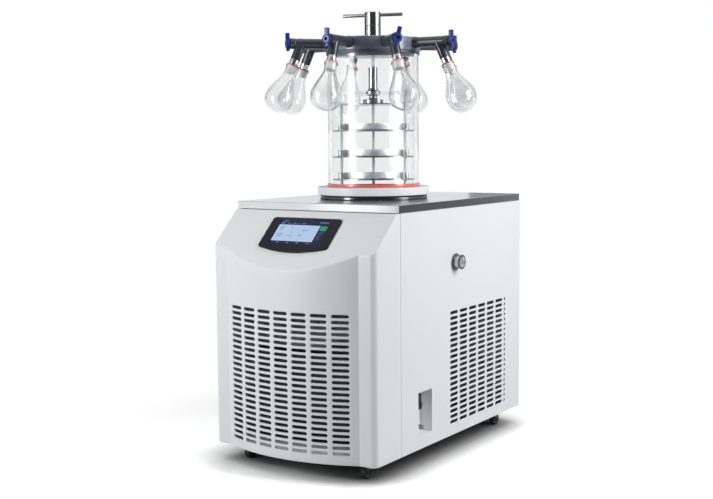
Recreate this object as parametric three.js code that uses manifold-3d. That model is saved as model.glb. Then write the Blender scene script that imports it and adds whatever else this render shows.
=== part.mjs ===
// Floor-standing freeze dryer with a stoppering rack and an eight-port manifold.
// Millimetres. +Z up, +Y to the back, origin on the floor under the middle of the part.

import * as THREE from 'three';
import { mergeVertices } from 'three/addons/utils/BufferGeometryUtils.js';
import Module from 'manifold-3d';

const wasm = await Module();
wasm.setup();

// Fits
const gap = 0.3; // between pieces that touch
const slideFit = 0.5; // around shafts and guide rods

// Cabinet
const cabinetWidth = 503;
const cabinetHeight = 617;
const cabinetBackY = 424.3;
const castorHeight = 48.5;
const worktopOverhang = 2; // past each side of the cabinet
const worktopBackSet = 8.8; // its back edge ahead of the cabinet's back
const worktopThickness = 20;
const worktopFrontY = -272;
const worktopCorner = 4;
const sideSheet = 2;
const rearSheet = 2;
const panelLip = 14;
const panSheet = 3;
const panLipHeight = 34;
const seamY = -259;
const seamOverlap = 10; // how far cutters pass a face

// Front moulding
const bezelWall = 4;
const bezelCornerRadius = 15;
const columnY = -372;
const columnWidth = 47; // from the cabinet's side to the bow's end
const bowEndY = -378;
const bowFrontY = -425;
const slopeFootDrop = 88;

// Slots
const slotHeight = 8.8;
const slotLength = 42.5;
const slotPitchAcross = 53.8;
const slotPitchUp = 14.9;
const frontColumns = 7;
const frontRows = 24;
const frontLowestSlot = 27.7; // above the cabinet's bottom edge
const sideColumns = 6;
const sideRows = 21;
const sideLowestSlot = 36.6;
const sideFirstColumnY = 18.7;
const sideStubLength = 9;

// Touch panel
const screenWidth = 214;
const screenTopOnSlope = 27;
const screenSideLength = 101;
const screenBow = 17;
const screenCorner = 9;
const screenPlate = 4;
const displayWidth = 154;
const displayLength = 84;
const displayTopInset = 7;
const displayThickness = 2.5;
const screenBoxDepth = 22;
const screenBoxMargin = 9;

// Drain niche
const nicheWidth = 69.5;
const nicheHeight = 113;
const nicheDepth = 32;
const nicheWall = 1.5;
const nicheFrontY = -172.4;
const nicheFloorRise = 36;
const drainBlockRise = 8;
const drainBlockWidth = 18;
const drainBlockHeight = 74;
const drainBlockDepth = 10;
const drainSpoutRadius = 6;
const drainSpoutBore = 3.3;
const drainSpoutLength = 15;
const drainSpoutRise = 16;
const drainPivotRise = 72;
const drainLeverReach = 32.5;
const drainLeverHub = 10.5;
const drainLeverWidth = 15;
const drainLeverThickness = 7;

// Pump port
const portY = 26.4;
const portRise = 471;
const portBore = 12.5;
const portPipeRadius = 15;
const portRingRadius = 22.5;
const portRingThickness = 4;
const portFlangeRadius = 20;
const portFlangeThickness = 4.5;
const portReach = 21;
const portInnerLength = 40;

// Power inlet
const inletX = -150;
const inletRise = 70;
const inletWidth = 50;
const inletHeight = 62;
const inletPlate = 3;
const inletDepth = 24;
const inletFlange = 4; // the plate past the body
const socketWidth = 27.6;
const socketHeight = 20;
const socketDepth = 17;
const socketDrop = 13;
const rockerWidth = 24;
const rockerHeight = 12;
const rockerThickness = 6;
const rockerProud = 2;
const rockerLift = 15;
const rockerTiltDeg = 10;
const rockerDish = 0.6;
const rockerEndClear = 0.8;
const pocketBack = 3;
const pinWidth = 2;
const pinHeight = 4;
const pinSetBack = 6;

// Castors
const castorFrontInset = 66.5; // from the cabinet's side to the swivel
const castorBackInset = 46.5;
const castorFrontY = -330;
const castorBackY = 340;
const castorPlate = 3;
const castorPlateSide = 44;
const wheelRadius = 18;
const wheelWidth = 15;
const axleRadius = 3;
const forkCheek = 2.5;
const forkTop = 3;
const forkTopRadius = 16;
const forkTrail = 12;
const forkTip = 6;
const forkDrop = 5;

// Chamber
const chamberY = 14.4;
const seatSetBack = 6.5; // inside the base flange's rim
const seatHeight = 11.5;
const baseFlangeOverhang = 30; // past the tube
const baseFlangeHeight = 21.5;
const throatLedge = 8; // the base flange's bore inside the cold trap's
const tubeRadius = 125;
const tubeWall = 10;
const tubeLength = 360;
const sealWall = 3;
const sealLipHeight = 8.5;
const sealInset = 1; // its web outside the tube's bore
const coverOverhang = 5; // past the tube
const coverHeight = 35.5;
const coverPlugDepth = 16;
const edgeCut = 2; // chamfer on the turned rims
const chamberSides = 32;

// Cold trap
const trapRadius = 96;
const trapWall = 2;
const trapDepth = 250;
const trapFlangeWidth = 14;
const trapFlangeHeight = 3;
const coilTubeRadius = 5;
const coilTurns = 3;
const coilTop = 50;
const coilPitch = 60;
const coilSeat = 1.2; // how far the pipe is brazed into the wall

// Ports, valves and flasks
const portCount = 8;
const firstPortDeg = -177.1;
const armRise = 20.5; // arm axis above the cover's underside
const armRadius = 14.5;
const armOverhang = 102; // past the cover's rim
const armRoot = 12; // inside the rim
const legSetBack = 32; // from the arm's end to the outlet's axis
const legTiltDeg = 23.1;
const legTwistDeg = 4;
const legRadius = 13.3;
const legLength = 48;
const sleeveRadius = 12;
const sleeveLength = 15;
const stopRingRadius = 17;
const stopRingThickness = 3.5;
const spigotRadius = 13.5;
const spigotLength = 20;
const knobRadius = 12.5;
const knobThickness = 11.5;
const knobBore = 4.5;
const knobBoreDepth = 6;
const knobTabCut = 2; // the tab's face behind the disc's
const leverWidth = 10;
const leverTop = 28.5;
const tabWidth = 9;
const tabReach = 20; // the lever's short end, below the spindle
const leverTurns = [0, 0, 0, -14, 0, 0, 0, 0];
const flaskWall = 2;
const flaskRimRadius = 18.5;
const flaskNeckLength = 28;
const flaskBodyRadius = 41;
const flaskLength = 131;
const flaskRimHeight = 5;
const flaskSides = 10;

// Press
const hubRadius = 22.2;
const hubBossHeight = 35.5;
const teeHeadHeight = 37;
const teeBoreDepth = 22;
const barRadius = 4.8;
const barLength = 168;
const barDrop = 8;
const barTurnDeg = 17;
const spindleRadius = 4.6;
const spindleTopInHead = 20;
const guideSleeveRadius = 12.3;
const guideSleeveLength = 62.5;
const sleeveFootRise = 35; // the sleeve's foot above the plate
const sleeveFlare = 2.5;
const sleeveFlareHeight = 6;
const footCollarRadius = 28;
const footCollarHeight = 11.5;
const upperCollarRadius = 20.3;
const upperCollarRise = 23.5;
const upperCollarHeight = 9.5;
const collarNeckRadius = 11;
const collarCut = 2;
const pressPlateThickness = 3;
const pressTravel = 40;

// Rack
const shelfClear = 2; // between a shelf and the tube
const shelfThickness = 3;
const rackTurnDeg = 122.5;
const rodInset = 13.5; // rod axes inside the shelves' rim
const rodRadius = 4;
const rodSides = 6;
const rodFootRadius = 8;
const rodFootHeight = 4;
const rackRingThickness = 9.5;
const rackRingWidth = 51;
const rodTopProud = 4;
const rackRingRise = 248; // underside of the top ring above the base flange
const pressPlateRise = 222;
const shelfRises = [151, 80.5, 19.5];
const bossRadius = 8.2;
const bossHeight = 17;
const trayClear = 4.3; // between a tray and the guide bosses
const trayHeight = 18;
const trayWall = 1;

// Machinery
const radiatorWidth = 330;
const radiatorHeight = 250;
const radiatorDepth = 44;
const radiatorY = -318;
const fanRadius = 112;
const fanClear = 5;
const shroudDepth = 26;
const shroudSheet = 2;
const fanMotorRadius = 26;
const fanMotorLength = 34;
const fanHubRadius = 22;
const fanHubLength = 20;
const fanBridgeSetBack = 12;
const fanBladeCount = 5;
const bladeChord = 46;
const bladeThickness = 2;
const bladePitchDeg = 24;
const bladeRoot = 3;
const bridgeHalfHeight = 9;
const bridgeSheet = 3;
const bridgeOverlap = 4;
const compressorX = -95;
const compressorY = 190;
const compressorRadius = 82;
const compressorHeight = 210;
const compressorFoot = 12;
const compressorFootRadius = 9;
const compressorBand = 4; // the weld band stands proud of the shell

// Sizes and heights that the values above give
const halfCabinet = cabinetWidth / 2;
const worktopBackY = cabinetBackY - worktopBackSet;
const bowEndX = halfCabinet - columnWidth;
const castorFrontX = halfCabinet - castorFrontInset;
const castorBackX = halfCabinet - castorBackInset;
const baseFlangeRadius = tubeRadius + baseFlangeOverhang;
const seatRadius = baseFlangeRadius - seatSetBack;
const baseFlangeBore = trapRadius - throatLedge;
const trapFlangeRadius = trapRadius + trapFlangeWidth;
const coverRadius = tubeRadius + coverOverhang;
const armReach = coverRadius + armOverhang;
const legStart = armReach - legSetBack;
const shelfRadius = tubeRadius - tubeWall - shelfClear;
const rodCircle = shelfRadius - rodInset;
const rackRingBore = shelfRadius - rackRingWidth;
const trayRadius = rodCircle - bossRadius - trayClear;
const cabinetBottomZ = castorHeight;
const cabinetTopZ = cabinetBottomZ + cabinetHeight;
const worktopZ = cabinetTopZ + worktopThickness;
const seatZ = worktopZ + gap;
const baseFlangeZ = seatZ + seatHeight + gap;
const chamberFloorZ = baseFlangeZ + baseFlangeHeight;
const tubeZ = chamberFloorZ + gap + sealWall + gap;
const tubeTopZ = tubeZ + tubeLength;
const coverZ = tubeTopZ + gap + sealWall + gap;
const coverTopZ = coverZ + coverHeight;
const hubBossZ = coverTopZ + gap;
const teeZ = hubBossZ + hubBossHeight + gap;
const teeTopZ = teeZ + teeHeadHeight;
const panTopZ = cabinetBottomZ + panSheet;
const innerHalfWidth = halfCabinet - sideSheet - gap;

// Solids

function weld(geometry) {
  const bare = geometry.clone();
  bare.deleteAttribute('normal');
  bare.deleteAttribute('uv');
  const merged = mergeVertices(bare, 1e-4);
  const old = merged.index.array;
  const kept = [];
  for (let i = 0; i < old.length; i += 3) {
    const [a, b, c] = [old[i], old[i + 1], old[i + 2]];
    if (a !== b && b !== c && c !== a) kept.push(a, b, c);
  }
  merged.setIndex(kept);
  return merged;
}

function solid(geometry) {
  const welded = weld(geometry);
  return new wasm.Manifold(new wasm.Mesh({
    numProp: 3,
    vertProperties: new Float32Array(welded.attributes.position.array),
    triVerts: new Uint32Array(welded.index.array),
  }));
}

function geometryOf(body) {
  const mesh = body.getMesh();
  const geometry = new THREE.BufferGeometry();
  geometry.setAttribute('position', new THREE.BufferAttribute(mesh.vertProperties, 3));
  geometry.setIndex(new THREE.BufferAttribute(mesh.triVerts, 1));
  return geometry;
}

function joined(first, ...others) {
  let body = solid(first);
  for (const other of others) body = body.add(solid(other));
  return body;
}

// A box from its low corner to its high corner.
function boxBetween(low, high) {
  const size = high.map((value, i) => value - low[i]);
  const middle = high.map((value, i) => (value + low[i]) / 2);
  return new THREE.BoxGeometry(...size).translate(...middle);
}

// A straight prism over an outline in X and Y.
function uprightPrism(points, z, height, holes = []) {
  const shape = new THREE.Shape(points.map(([x, y]) => new THREE.Vector2(x, y)));
  for (const hole of holes) {
    shape.holes.push(new THREE.Path(hole.map(([x, y]) => new THREE.Vector2(x, y))));
  }
  const options = { depth: height, bevelEnabled: false, steps: 1, curveSegments: 1 };
  return new THREE.ExtrudeGeometry(shape, options).translate(0, 0, z);
}

// A prism along +X over an outline given as [y, z].
function crossPrism(points, x, length) {
  const prism = uprightPrism(points, 0, length);
  return prism.rotateX(Math.PI / 2).rotateZ(Math.PI / 2).translate(x, 0, 0);
}

// A turned body about the Z axis from [radius, height] points, closed on itself or on the axis.
function turned(points, sides, onAxis = false) {
  const profile = points.map(([r, z]) => new THREE.Vector2(r, z));
  if (!onAxis) profile.push(profile[0].clone());
  return new THREE.LatheGeometry(profile, sides).rotateX(Math.PI / 2);
}

function tubeProfile(inner, outer, low, high) {
  return [[inner, low], [outer, low], [outer, high], [inner, high]];
}

function rodProfile(radius, low, high) {
  return [[0, low], [radius, low], [radius, high], [0, high]];
}

function rod(radius, low, high, sides) {
  return turned(rodProfile(radius, low, high), sides, true);
}

function circle(radius, sides, x = 0, y = 0) {
  return Array.from({ length: sides }, (_, i) => {
    const angle = (2 * Math.PI * i) / sides;
    return [x + radius * Math.cos(angle), y + radius * Math.sin(angle)];
  });
}

// Front moulding

const bowSagitta = bowEndY - bowFrontY;
const bowRadius = (bowEndX ** 2 + bowSagitta ** 2) / (2 * bowSagitta);
const bowCentreY = bowFrontY + bowRadius;
const slope = slopeFootDrop / (worktopFrontY - columnY);
const slopeAngle = Math.atan(slope);

// X stations on the bow: two at each slot column, so a slot never crosses a bend.
function bowStations() {
  const margin = (slotPitchAcross - slotLength) / 4;
  const half = slotLength / 2 + margin;
  const stations = [-bowEndX];
  for (let i = 0; i < frontColumns; i += 1) {
    const x = (i - (frontColumns - 1) / 2) * slotPitchAcross;
    stations.push(x - half, x + half);
  }
  stations.push(bowEndX);
  return stations;
}

function bezelPlan(inset, backY) {
  const half = halfCabinet - inset;
  const radius = bezelCornerRadius - inset;
  const cornerX = halfCabinet - bezelCornerRadius;
  const cornerY = columnY + bezelCornerRadius;
  const right = [[half, backY]];
  for (let i = 0; i <= 4; i += 1) {
    const angle = (-Math.PI / 2) * (i / 4);
    right.push([cornerX + radius * Math.cos(angle), cornerY + radius * Math.sin(angle)]);
  }
  const bow = bowStations().reverse().map((x) => {
    const angle = Math.asin(x / bowRadius);
    const r = bowRadius - inset;
    return [r * Math.sin(angle), bowCentreY - r * Math.cos(angle)];
  });
  const left = right.map(([x, y]) => [-x, y]).reverse();
  return [...right, ...bow, ...left].reverse();
}

function bezelSide(inset, backY, lowZ) {
  const frontY = bowFrontY - 2 * seamOverlap;
  const topZ = cabinetTopZ - gap - inset;
  const breakY = worktopFrontY - inset * Math.tan(slopeAngle / 2);
  const frontZ = topZ - (breakY - frontY) * slope;
  return [[backY, lowZ], [backY, topZ], [breakY, topZ], [frontY, frontZ], [frontY, lowZ]];
}

function bezelBlock(inset, backY, lowZ) {
  const plan = solid(uprightPrism(bezelPlan(inset, backY), lowZ, cabinetTopZ - lowZ));
  const side = solid(crossPrism(bezelSide(inset, backY, lowZ), -cabinetWidth, 2 * cabinetWidth));
  return plan.intersect(side);
}

// A slot with pointed ends, lying in the plane of its first axis and Z.
function slotOutline(length, height) {
  const tip = Math.min(height * 0.3, length * 0.3);
  const [half, up] = [length / 2, height / 2];
  return [
    [-half, 0], [-half + tip, -up], [half - tip, -up],
    [half, 0], [half - tip, up], [-half + tip, up],
  ];
}

// A slot cutter along Y.
function slotCutter(length, depth) {
  return uprightPrism(slotOutline(length, slotHeight), -depth / 2, depth).rotateX(Math.PI / 2);
}

function frontSlots() {
  const depth = bezelWall * 4;
  const cutters = [];
  for (let i = 0; i < frontColumns; i += 1) {
    const x = (i - (frontColumns - 1) / 2) * slotPitchAcross;
    const y = bowCentreY - Math.sqrt(bowRadius ** 2 - x ** 2);
    for (let j = 0; j < frontRows; j += 1) {
      const z = cabinetBottomZ + frontLowestSlot + j * slotPitchUp;
      cutters.push(solid(slotCutter(slotLength, depth * 2).translate(x, y + depth / 4, z)));
    }
  }
  return wasm.Manifold.union(cutters);
}

function screenBoxSize() {
  return [displayWidth - 2 * screenBoxMargin, displayLength - 2 * screenBoxMargin];
}

function frontBezel() {
  const outer = bezelBlock(0, seamY, cabinetBottomZ);
  const inner = bezelBlock(bezelWall, seamY + seamOverlap, cabinetBottomZ - seamOverlap);
  const [width, length] = screenBoxSize();
  const hole = new THREE.BoxGeometry(width + 2 * gap, length + 2 * gap, bezelWall * 6);
  const cut = frontSlots().add(solid(onSlope(hole, displayMiddle(), 0)));
  return geometryOf(outer.subtract(inner).subtract(cut));
}

// Places a body drawn flat, with its top edge at +Y, on the slope at a distance from the slope's top.
function onSlope(geometry, distance, lift) {
  const y = worktopFrontY - distance * Math.cos(slopeAngle) - lift * Math.sin(slopeAngle);
  const z = cabinetTopZ - gap - distance * Math.sin(slopeAngle) + lift * Math.cos(slopeAngle);
  return geometry.rotateX(slopeAngle).translate(0, y, z);
}

function displayMiddle() {
  return screenTopOnSlope + displayTopInset + displayLength / 2;
}

// Touch panel

function screenOutline() {
  const half = screenWidth / 2;
  const low = -screenSideLength;
  const points = [[-half, low + screenCorner], [-half, -screenCorner], [-half + screenCorner, 0]];
  points.push([half - screenCorner, 0], [half, -screenCorner], [half, low + screenCorner]);
  const steps = 8;
  for (let i = 0; i <= steps; i += 1) {
    const x = (half - screenCorner) * (1 - (2 * i) / steps);
    points.push([x, low - screenBow * (1 - (x / half) ** 2)]);
  }
  return points.reverse();
}

function screenFrame() {
  const half = displayWidth / 2 + gap;
  const top = -displayTopInset + gap;
  const low = -displayTopInset - displayLength - gap;
  const window = [[-half, low], [half, low], [half, top], [-half, top]];
  const plate = uprightPrism(screenOutline(), 0, screenPlate, [window]);
  return onSlope(plate, screenTopOnSlope, gap);
}

function displayUnit() {
  const [width, length] = screenBoxSize();
  const face = new THREE.BoxGeometry(displayWidth, displayLength, displayThickness);
  const box = new THREE.BoxGeometry(width, length, screenBoxDepth);
  face.translate(0, 0, displayThickness / 2);
  box.translate(0, 0, 1 - screenBoxDepth / 2);
  return onSlope(geometryOf(joined(face, box)), displayMiddle(), gap);
}

// Cabinet shell

const panelFrontY = seamY + gap;
const panelBackY = cabinetBackY - rearSheet - gap;
const panelTopZ = cabinetTopZ - gap;

// A side sheet with lips turned in along its front and back edges. side is 1 on the right.
function sidePanelBody(side) {
  const out = halfCabinet;
  const low = out - sideSheet;
  const lip = out - panelLip;
  const outline = [
    [out, panelFrontY], [out, panelBackY], [lip, panelBackY], [lip, panelBackY - sideSheet],
    [low, panelBackY - sideSheet], [low, panelFrontY + sideSheet], [lip, panelFrontY + sideSheet],
    [lip, panelFrontY],
  ];
  const placed = side > 0 ? outline : outline.map(([x, y]) => [-x, y]).reverse();
  return uprightPrism(placed, cabinetBottomZ, panelTopZ - cabinetBottomZ);
}

function sideSlots() {
  const stubShift = (sideStubLength - slotLength) / 2;
  const stubY = sideFirstColumnY + sideColumns * slotPitchAcross + stubShift;
  const cutters = [];
  for (let j = 0; j < sideRows; j += 1) {
    const z = cabinetBottomZ + sideLowestSlot + j * slotPitchUp;
    for (let i = 0; i < sideColumns; i += 1) {
      cutters.push(sideSlot(slotLength, sideFirstColumnY + i * slotPitchAcross, z));
    }
    cutters.push(sideSlot(sideStubLength, stubY, z));
  }
  return wasm.Manifold.union(cutters);
}

function sideSlot(length, y, z) {
  const cutter = new THREE.BoxGeometry(sideSheet * 4, length, slotHeight);
  return solid(cutter.translate(halfCabinet - sideSheet / 2, y, z));
}

const nicheMiddleY = nicheFrontY + nicheWidth / 2;
const nicheFloorZ = cabinetBottomZ + nicheFloorRise;
const portZ = cabinetBottomZ + portRise;

function rightSidePanel() {
  const out = halfCabinet;
  const niche = boxBetween(
    [out - sideSheet * 2, nicheFrontY, nicheFloorZ],
    [out + sideSheet, nicheFrontY + nicheWidth, nicheFloorZ + nicheHeight],
  );
  const port = rod(portPipeRadius + slideFit, -sideSheet * 2, sideSheet * 2, 16);
  port.rotateY(Math.PI / 2).translate(out, portY, portZ);
  const cuts = sideSlots().add(solid(niche)).add(solid(port));
  return geometryOf(solid(sidePanelBody(1)).subtract(cuts));
}

function rearPanel() {
  const half = halfCabinet;
  const sheetBody = boxBetween(
    [-half, cabinetBackY - rearSheet, cabinetBottomZ],
    [half, cabinetBackY, panelTopZ],
  );
  const [width, height] = [inletWidth - 2 * inletFlange, inletHeight - 2 * inletFlange];
  const middleZ = cabinetBottomZ + inletRise;
  const hole = boxBetween(
    [inletX - width / 2 - gap, cabinetBackY - seamOverlap, middleZ - height / 2 - gap],
    [inletX + width / 2 + gap, cabinetBackY + seamOverlap, middleZ + height / 2 + gap],
  );
  return geometryOf(solid(sheetBody).subtract(solid(hole)));
}

// The floor sheet with a turned-up front edge and a plate over each castor.
function basePan() {
  const narrow = halfCabinet - Math.max(bezelWall, panelLip) - gap;
  const frontHalf = halfCabinet - bezelWall - gap;
  const frontY = columnY + bezelCornerRadius;
  const [lipFront, lipBack] = [panelFrontY + sideSheet + gap, panelBackY - sideSheet - gap];
  const right = [
    [frontHalf, frontY], [frontHalf, seamY - gap], [narrow, seamY - gap], [narrow, lipFront],
    [innerHalfWidth, lipFront], [innerHalfWidth, lipBack], [narrow, lipBack], [narrow, panelBackY],
  ];
  const outline = [...right, ...right.map(([x, y]) => [-x, y]).reverse()];
  let pan = solid(uprightPrism(outline, cabinetBottomZ, panSheet));
  const lip = boxBetween(
    [-frontHalf, frontY, cabinetBottomZ],
    [frontHalf, frontY + panSheet, cabinetBottomZ + panLipHeight],
  );
  pan = pan.add(solid(lip));
  for (const [x, y] of castorSpots()) {
    const half = castorPlateSide / 2;
    const plate = boxBetween(
      [x - half, y - half, cabinetBottomZ - castorPlate],
      [x + half, y + half, cabinetBottomZ + 1],
    );
    pan = pan.add(solid(plate));
  }
  return geometryOf(pan);
}

function worktop() {
  const half = halfCabinet + worktopOverhang;
  const cut = worktopCorner;
  const outline = [
    [-half + cut, worktopFrontY], [half - cut, worktopFrontY], [half, worktopFrontY + cut],
    [half, worktopBackY], [-half, worktopBackY], [-half, worktopFrontY + cut],
  ];
  const hole = circle(trapRadius + slideFit, chamberSides, 0, chamberY).reverse();
  return uprightPrism(outline, cabinetTopZ, worktopThickness, [hole]);
}

// Castors

function castorSpots() {
  return [
    [-castorFrontX, castorFrontY], [castorFrontX, castorFrontY],
    [-castorBackX, castorBackY], [castorBackX, castorBackY],
  ];
}

const forkTopZ = castorHeight - castorPlate - gap;

// Drawn with the swivel axis on Z through the origin. The wheel trails to the back.
function castorFork() {
  const half = wheelWidth / 2 + slideFit + forkCheek;
  const inside = wheelWidth / 2 + slideFit;
  const top = rod(forkTopRadius, forkTopZ - forkTop, forkTopZ, 10);
  const side = [
    [-forkTopRadius * 0.7, forkTopZ - 1], [forkTrail - forkTip, wheelRadius - forkDrop],
    [forkTrail + forkTip, wheelRadius - forkDrop], [forkTopRadius * 0.9, forkTopZ - 1],
  ];
  const left = crossPrism(side, -half, forkCheek);
  const right = crossPrism(side, inside, forkCheek);
  const axle = rod(axleRadius, -half, half, 6).rotateY(Math.PI / 2).translate(0, forkTrail, wheelRadius);
  return geometryOf(joined(top, left, right, axle));
}

function castorWheel() {
  const half = wheelWidth / 2;
  const bore = axleRadius + slideFit;
  const profile = [[bore, -half], [wheelRadius, -half], [wheelRadius, half], [bore, half]];
  return turned(profile, 12).rotateY(Math.PI / 2).rotateX(Math.PI / 2);
}

// Side fittings

function drainNiche() {
  const out = halfCabinet - sideSheet - gap;
  const low = [out - nicheDepth, nicheFrontY - nicheWall, nicheFloorZ - nicheWall];
  const high = [out, nicheFrontY + nicheWidth + nicheWall, nicheFloorZ + nicheHeight + nicheWall];
  const shell = boxBetween(low, high);
  const hollow = boxBetween(
    [low[0] + nicheWall, nicheFrontY, nicheFloorZ],
    [out + 5, nicheFrontY + nicheWidth, nicheFloorZ + nicheHeight],
  );
  return geometryOf(solid(shell).subtract(solid(hollow)));
}

const nicheWallX = halfCabinet - sideSheet - gap - nicheDepth + nicheWall;
const drainBlockX = nicheWallX + gap;
const drainLeverX = drainBlockX + drainBlockDepth + gap;

function drainValve() {
  const half = drainBlockWidth / 2;
  const block = boxBetween(
    [drainBlockX, nicheMiddleY - half, nicheFloorZ + drainBlockRise],
    [drainBlockX + drainBlockDepth, nicheMiddleY + half, nicheFloorZ + drainBlockRise + drainBlockHeight],
  );
  const length = drainBlockDepth + drainSpoutLength;
  const spoutZ = nicheFloorZ + drainSpoutRise;
  const spout = rod(drainSpoutRadius, 1, length, 12).rotateY(Math.PI / 2);
  const bore = rod(drainSpoutBore, drainBlockDepth - 4, length + 5, 8).rotateY(Math.PI / 2);
  spout.translate(drainBlockX, nicheMiddleY, spoutZ);
  bore.translate(drainBlockX, nicheMiddleY, spoutZ);
  return geometryOf(joined(block, spout).subtract(solid(bore)));
}

function drainLever() {
  const hub = rod(drainLeverHub, 0, drainLeverThickness, 12).rotateY(Math.PI / 2);
  const half = drainLeverWidth / 2;
  const arm = boxBetween([0, -half, 0], [drainLeverThickness, half, drainLeverReach]);
  return geometryOf(joined(hub, arm));
}

function vacuumPort() {
  const ring = gap + portRingThickness;
  const profile = [
    [portBore, -portInnerLength], [portPipeRadius, -portInnerLength], [portPipeRadius, gap],
    [portRingRadius, gap], [portRingRadius, ring], [portPipeRadius, ring],
    [portPipeRadius, portReach - portFlangeThickness], [portFlangeRadius, portReach - portFlangeThickness],
    [portFlangeRadius, portReach], [portBore, portReach],
  ];
  return turned(profile, 16).rotateY(Math.PI / 2);
}

// Power inlet, drawn about its own middle with the outer face towards +Y

function powerInlet() {
  const [halfWidth, halfHeight] = [inletWidth / 2, inletHeight / 2];
  const plate = boxBetween([-halfWidth, gap, -halfHeight], [halfWidth, gap + inletPlate, halfHeight]);
  const back = gap - inletDepth;
  const [bodyHalf, bodyUp] = [halfWidth - inletFlange, halfHeight - inletFlange];
  const body = boxBetween([-bodyHalf, back, -bodyUp], [bodyHalf, gap + 1, bodyUp]);
  const face = gap + inletPlate;
  const socket = boxBetween(
    [-socketWidth / 2, face - socketDepth, -socketDrop - socketHeight / 2],
    [socketWidth / 2, face + 5, -socketDrop + socketHeight / 2],
  );
  const room = rockerThickness + pocketBack;
  const pocket = boxBetween(
    [-rockerWidth / 2 - gap, face - room, rockerLift - rockerHeight / 2 - slideFit],
    [rockerWidth / 2 + gap, face + 5, rockerLift + rockerHeight / 2 + slideFit],
  );
  let inlet = joined(plate, body).subtract(solid(socket)).subtract(solid(pocket));
  for (const [x, z] of [[-7, -4], [7, -4], [0, 4]]) {
    const pin = boxBetween(
      [x - pinWidth / 2, face - socketDepth - 1, z - pinHeight / 2 - socketDrop],
      [x + pinWidth / 2, face - pinSetBack, z + pinHeight / 2 - socketDrop],
    );
    inlet = inlet.add(solid(pin));
  }
  return geometryOf(inlet);
}

// A rocker cap drawn about its pivot, leaning to its off side.
function powerSwitch() {
  const [half, up] = [rockerWidth / 2, rockerHeight / 2 - rockerEndClear];
  const face = rockerThickness / 2;
  const outline = [[-face, -up], [face + rockerDish, -up], [face - rockerDish, 0]];
  outline.push([face + rockerDish, up], [-face, up]);
  return crossPrism(outline, -half, 2 * half).rotateX(THREE.MathUtils.degToRad(rockerTiltDeg));
}

// Chamber base and tube

function seatRing() {
  const bore = trapFlangeRadius + slideFit;
  const rise = seatHeight;
  const profile = [[bore, 0], [seatRadius - edgeCut, 0], [seatRadius, edgeCut]];
  profile.push([seatRadius, rise - edgeCut], [seatRadius - edgeCut, rise], [bore, rise]);
  return turned(profile, chamberSides);
}

function baseFlange() {
  const [r, h] = [baseFlangeRadius, baseFlangeHeight];
  const profile = [[baseFlangeBore, 0], [r, 0], [r, h - edgeCut], [r - edgeCut, h], [baseFlangeBore, h]];
  return turned(profile, chamberSides);
}

const sealInner = tubeRadius - tubeWall + sealInset;
const sealOuter = tubeRadius + gap + sealWall;

// An angle-section seal: a web across the tube's end and a lip around the outside.
function sealRing() {
  const lip = tubeRadius + gap;
  const profile = [[sealInner, 0], [sealOuter, 0], [sealOuter, sealLipHeight], [lip, sealLipHeight]];
  profile.push([lip, sealWall], [sealInner, sealWall]);
  return turned(profile, chamberSides);
}

function chamberTube() {
  return turned(tubeProfile(tubeRadius - tubeWall, tubeRadius, 0, tubeLength), chamberSides);
}

// Cold trap: a deep pot hung from its rim, with the evaporator pipe brazed around it
function coldTrap() {
  const low = -trapDepth;
  const pot = [[0, low], [trapRadius, low], [trapRadius, gap]];
  pot.push([trapFlangeRadius, gap], [trapFlangeRadius, trapFlangeHeight]);
  const inner = trapRadius - trapWall;
  pot.push([inner, trapFlangeHeight], [inner, low + trapWall], [0, low + trapWall]);
  let trap = solid(turned(pot, 16, true));
  for (let i = 0; i < coilTurns; i += 1) {
    const z = -worktopThickness - coilTop - i * coilPitch;
    trap = trap.add(solid(turned(coilSection(z), 16)));
  }
  return geometryOf(trap);
}

function coilSection(z) {
  const middle = trapRadius + coilTubeRadius - coilSeat;
  return circle(coilTubeRadius, 4, middle, z);
}

// Manifold cover

function radians(degrees) {
  return THREE.MathUtils.degToRad(degrees);
}

// Turns a body drawn along its own +Z from the leg's start into the place of the slanted outlet.
function alongLeg(geometry) {
  geometry.rotateX(Math.PI);
  geometry.rotateY(-radians(legTiltDeg));
  geometry.rotateX(radians(legTwistDeg));
  return geometry.translate(legStart, 0, armRise);
}

function legProfile() {
  const sleeveEnd = legLength + sleeveLength;
  const ringEnd = sleeveEnd + stopRingThickness;
  return [
    [0, 0], [legRadius, 0], [legRadius, legLength], [sleeveRadius, legLength], [sleeveRadius, sleeveEnd],
    [stopRingRadius, sleeveEnd], [stopRingRadius, ringEnd], [spigotRadius, ringEnd],
    [spigotRadius, ringEnd + spigotLength], [0, ringEnd + spigotLength],
  ];
}

function manifoldCover() {
  const bore = spindleRadius + slideFit;
  const plug = tubeRadius - tubeWall - slideFit;
  const disc = [[bore, -coverPlugDepth], [plug, -coverPlugDepth], [plug, 0], [coverRadius, 0]];
  disc.push([coverRadius, coverHeight - edgeCut]);
  disc.push([coverRadius - edgeCut, coverHeight], [bore, coverHeight]);
  let cover = solid(turned(disc, chamberSides));
  for (let i = 0; i < portCount; i += 1) {
    const angle = radians(firstPortDeg + (360 / portCount) * i);
    const arm = rod(armRadius, coverRadius - armRoot, armReach, 10);
    arm.rotateY(Math.PI / 2).translate(0, 0, armRise);
    const leg = alongLeg(turned(legProfile(), 8, true));
    cover = cover.add(joined(arm, leg).rotate([0, 0, THREE.MathUtils.radToDeg(angle)]));
  }
  return geometryOf(cover);
}

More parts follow.
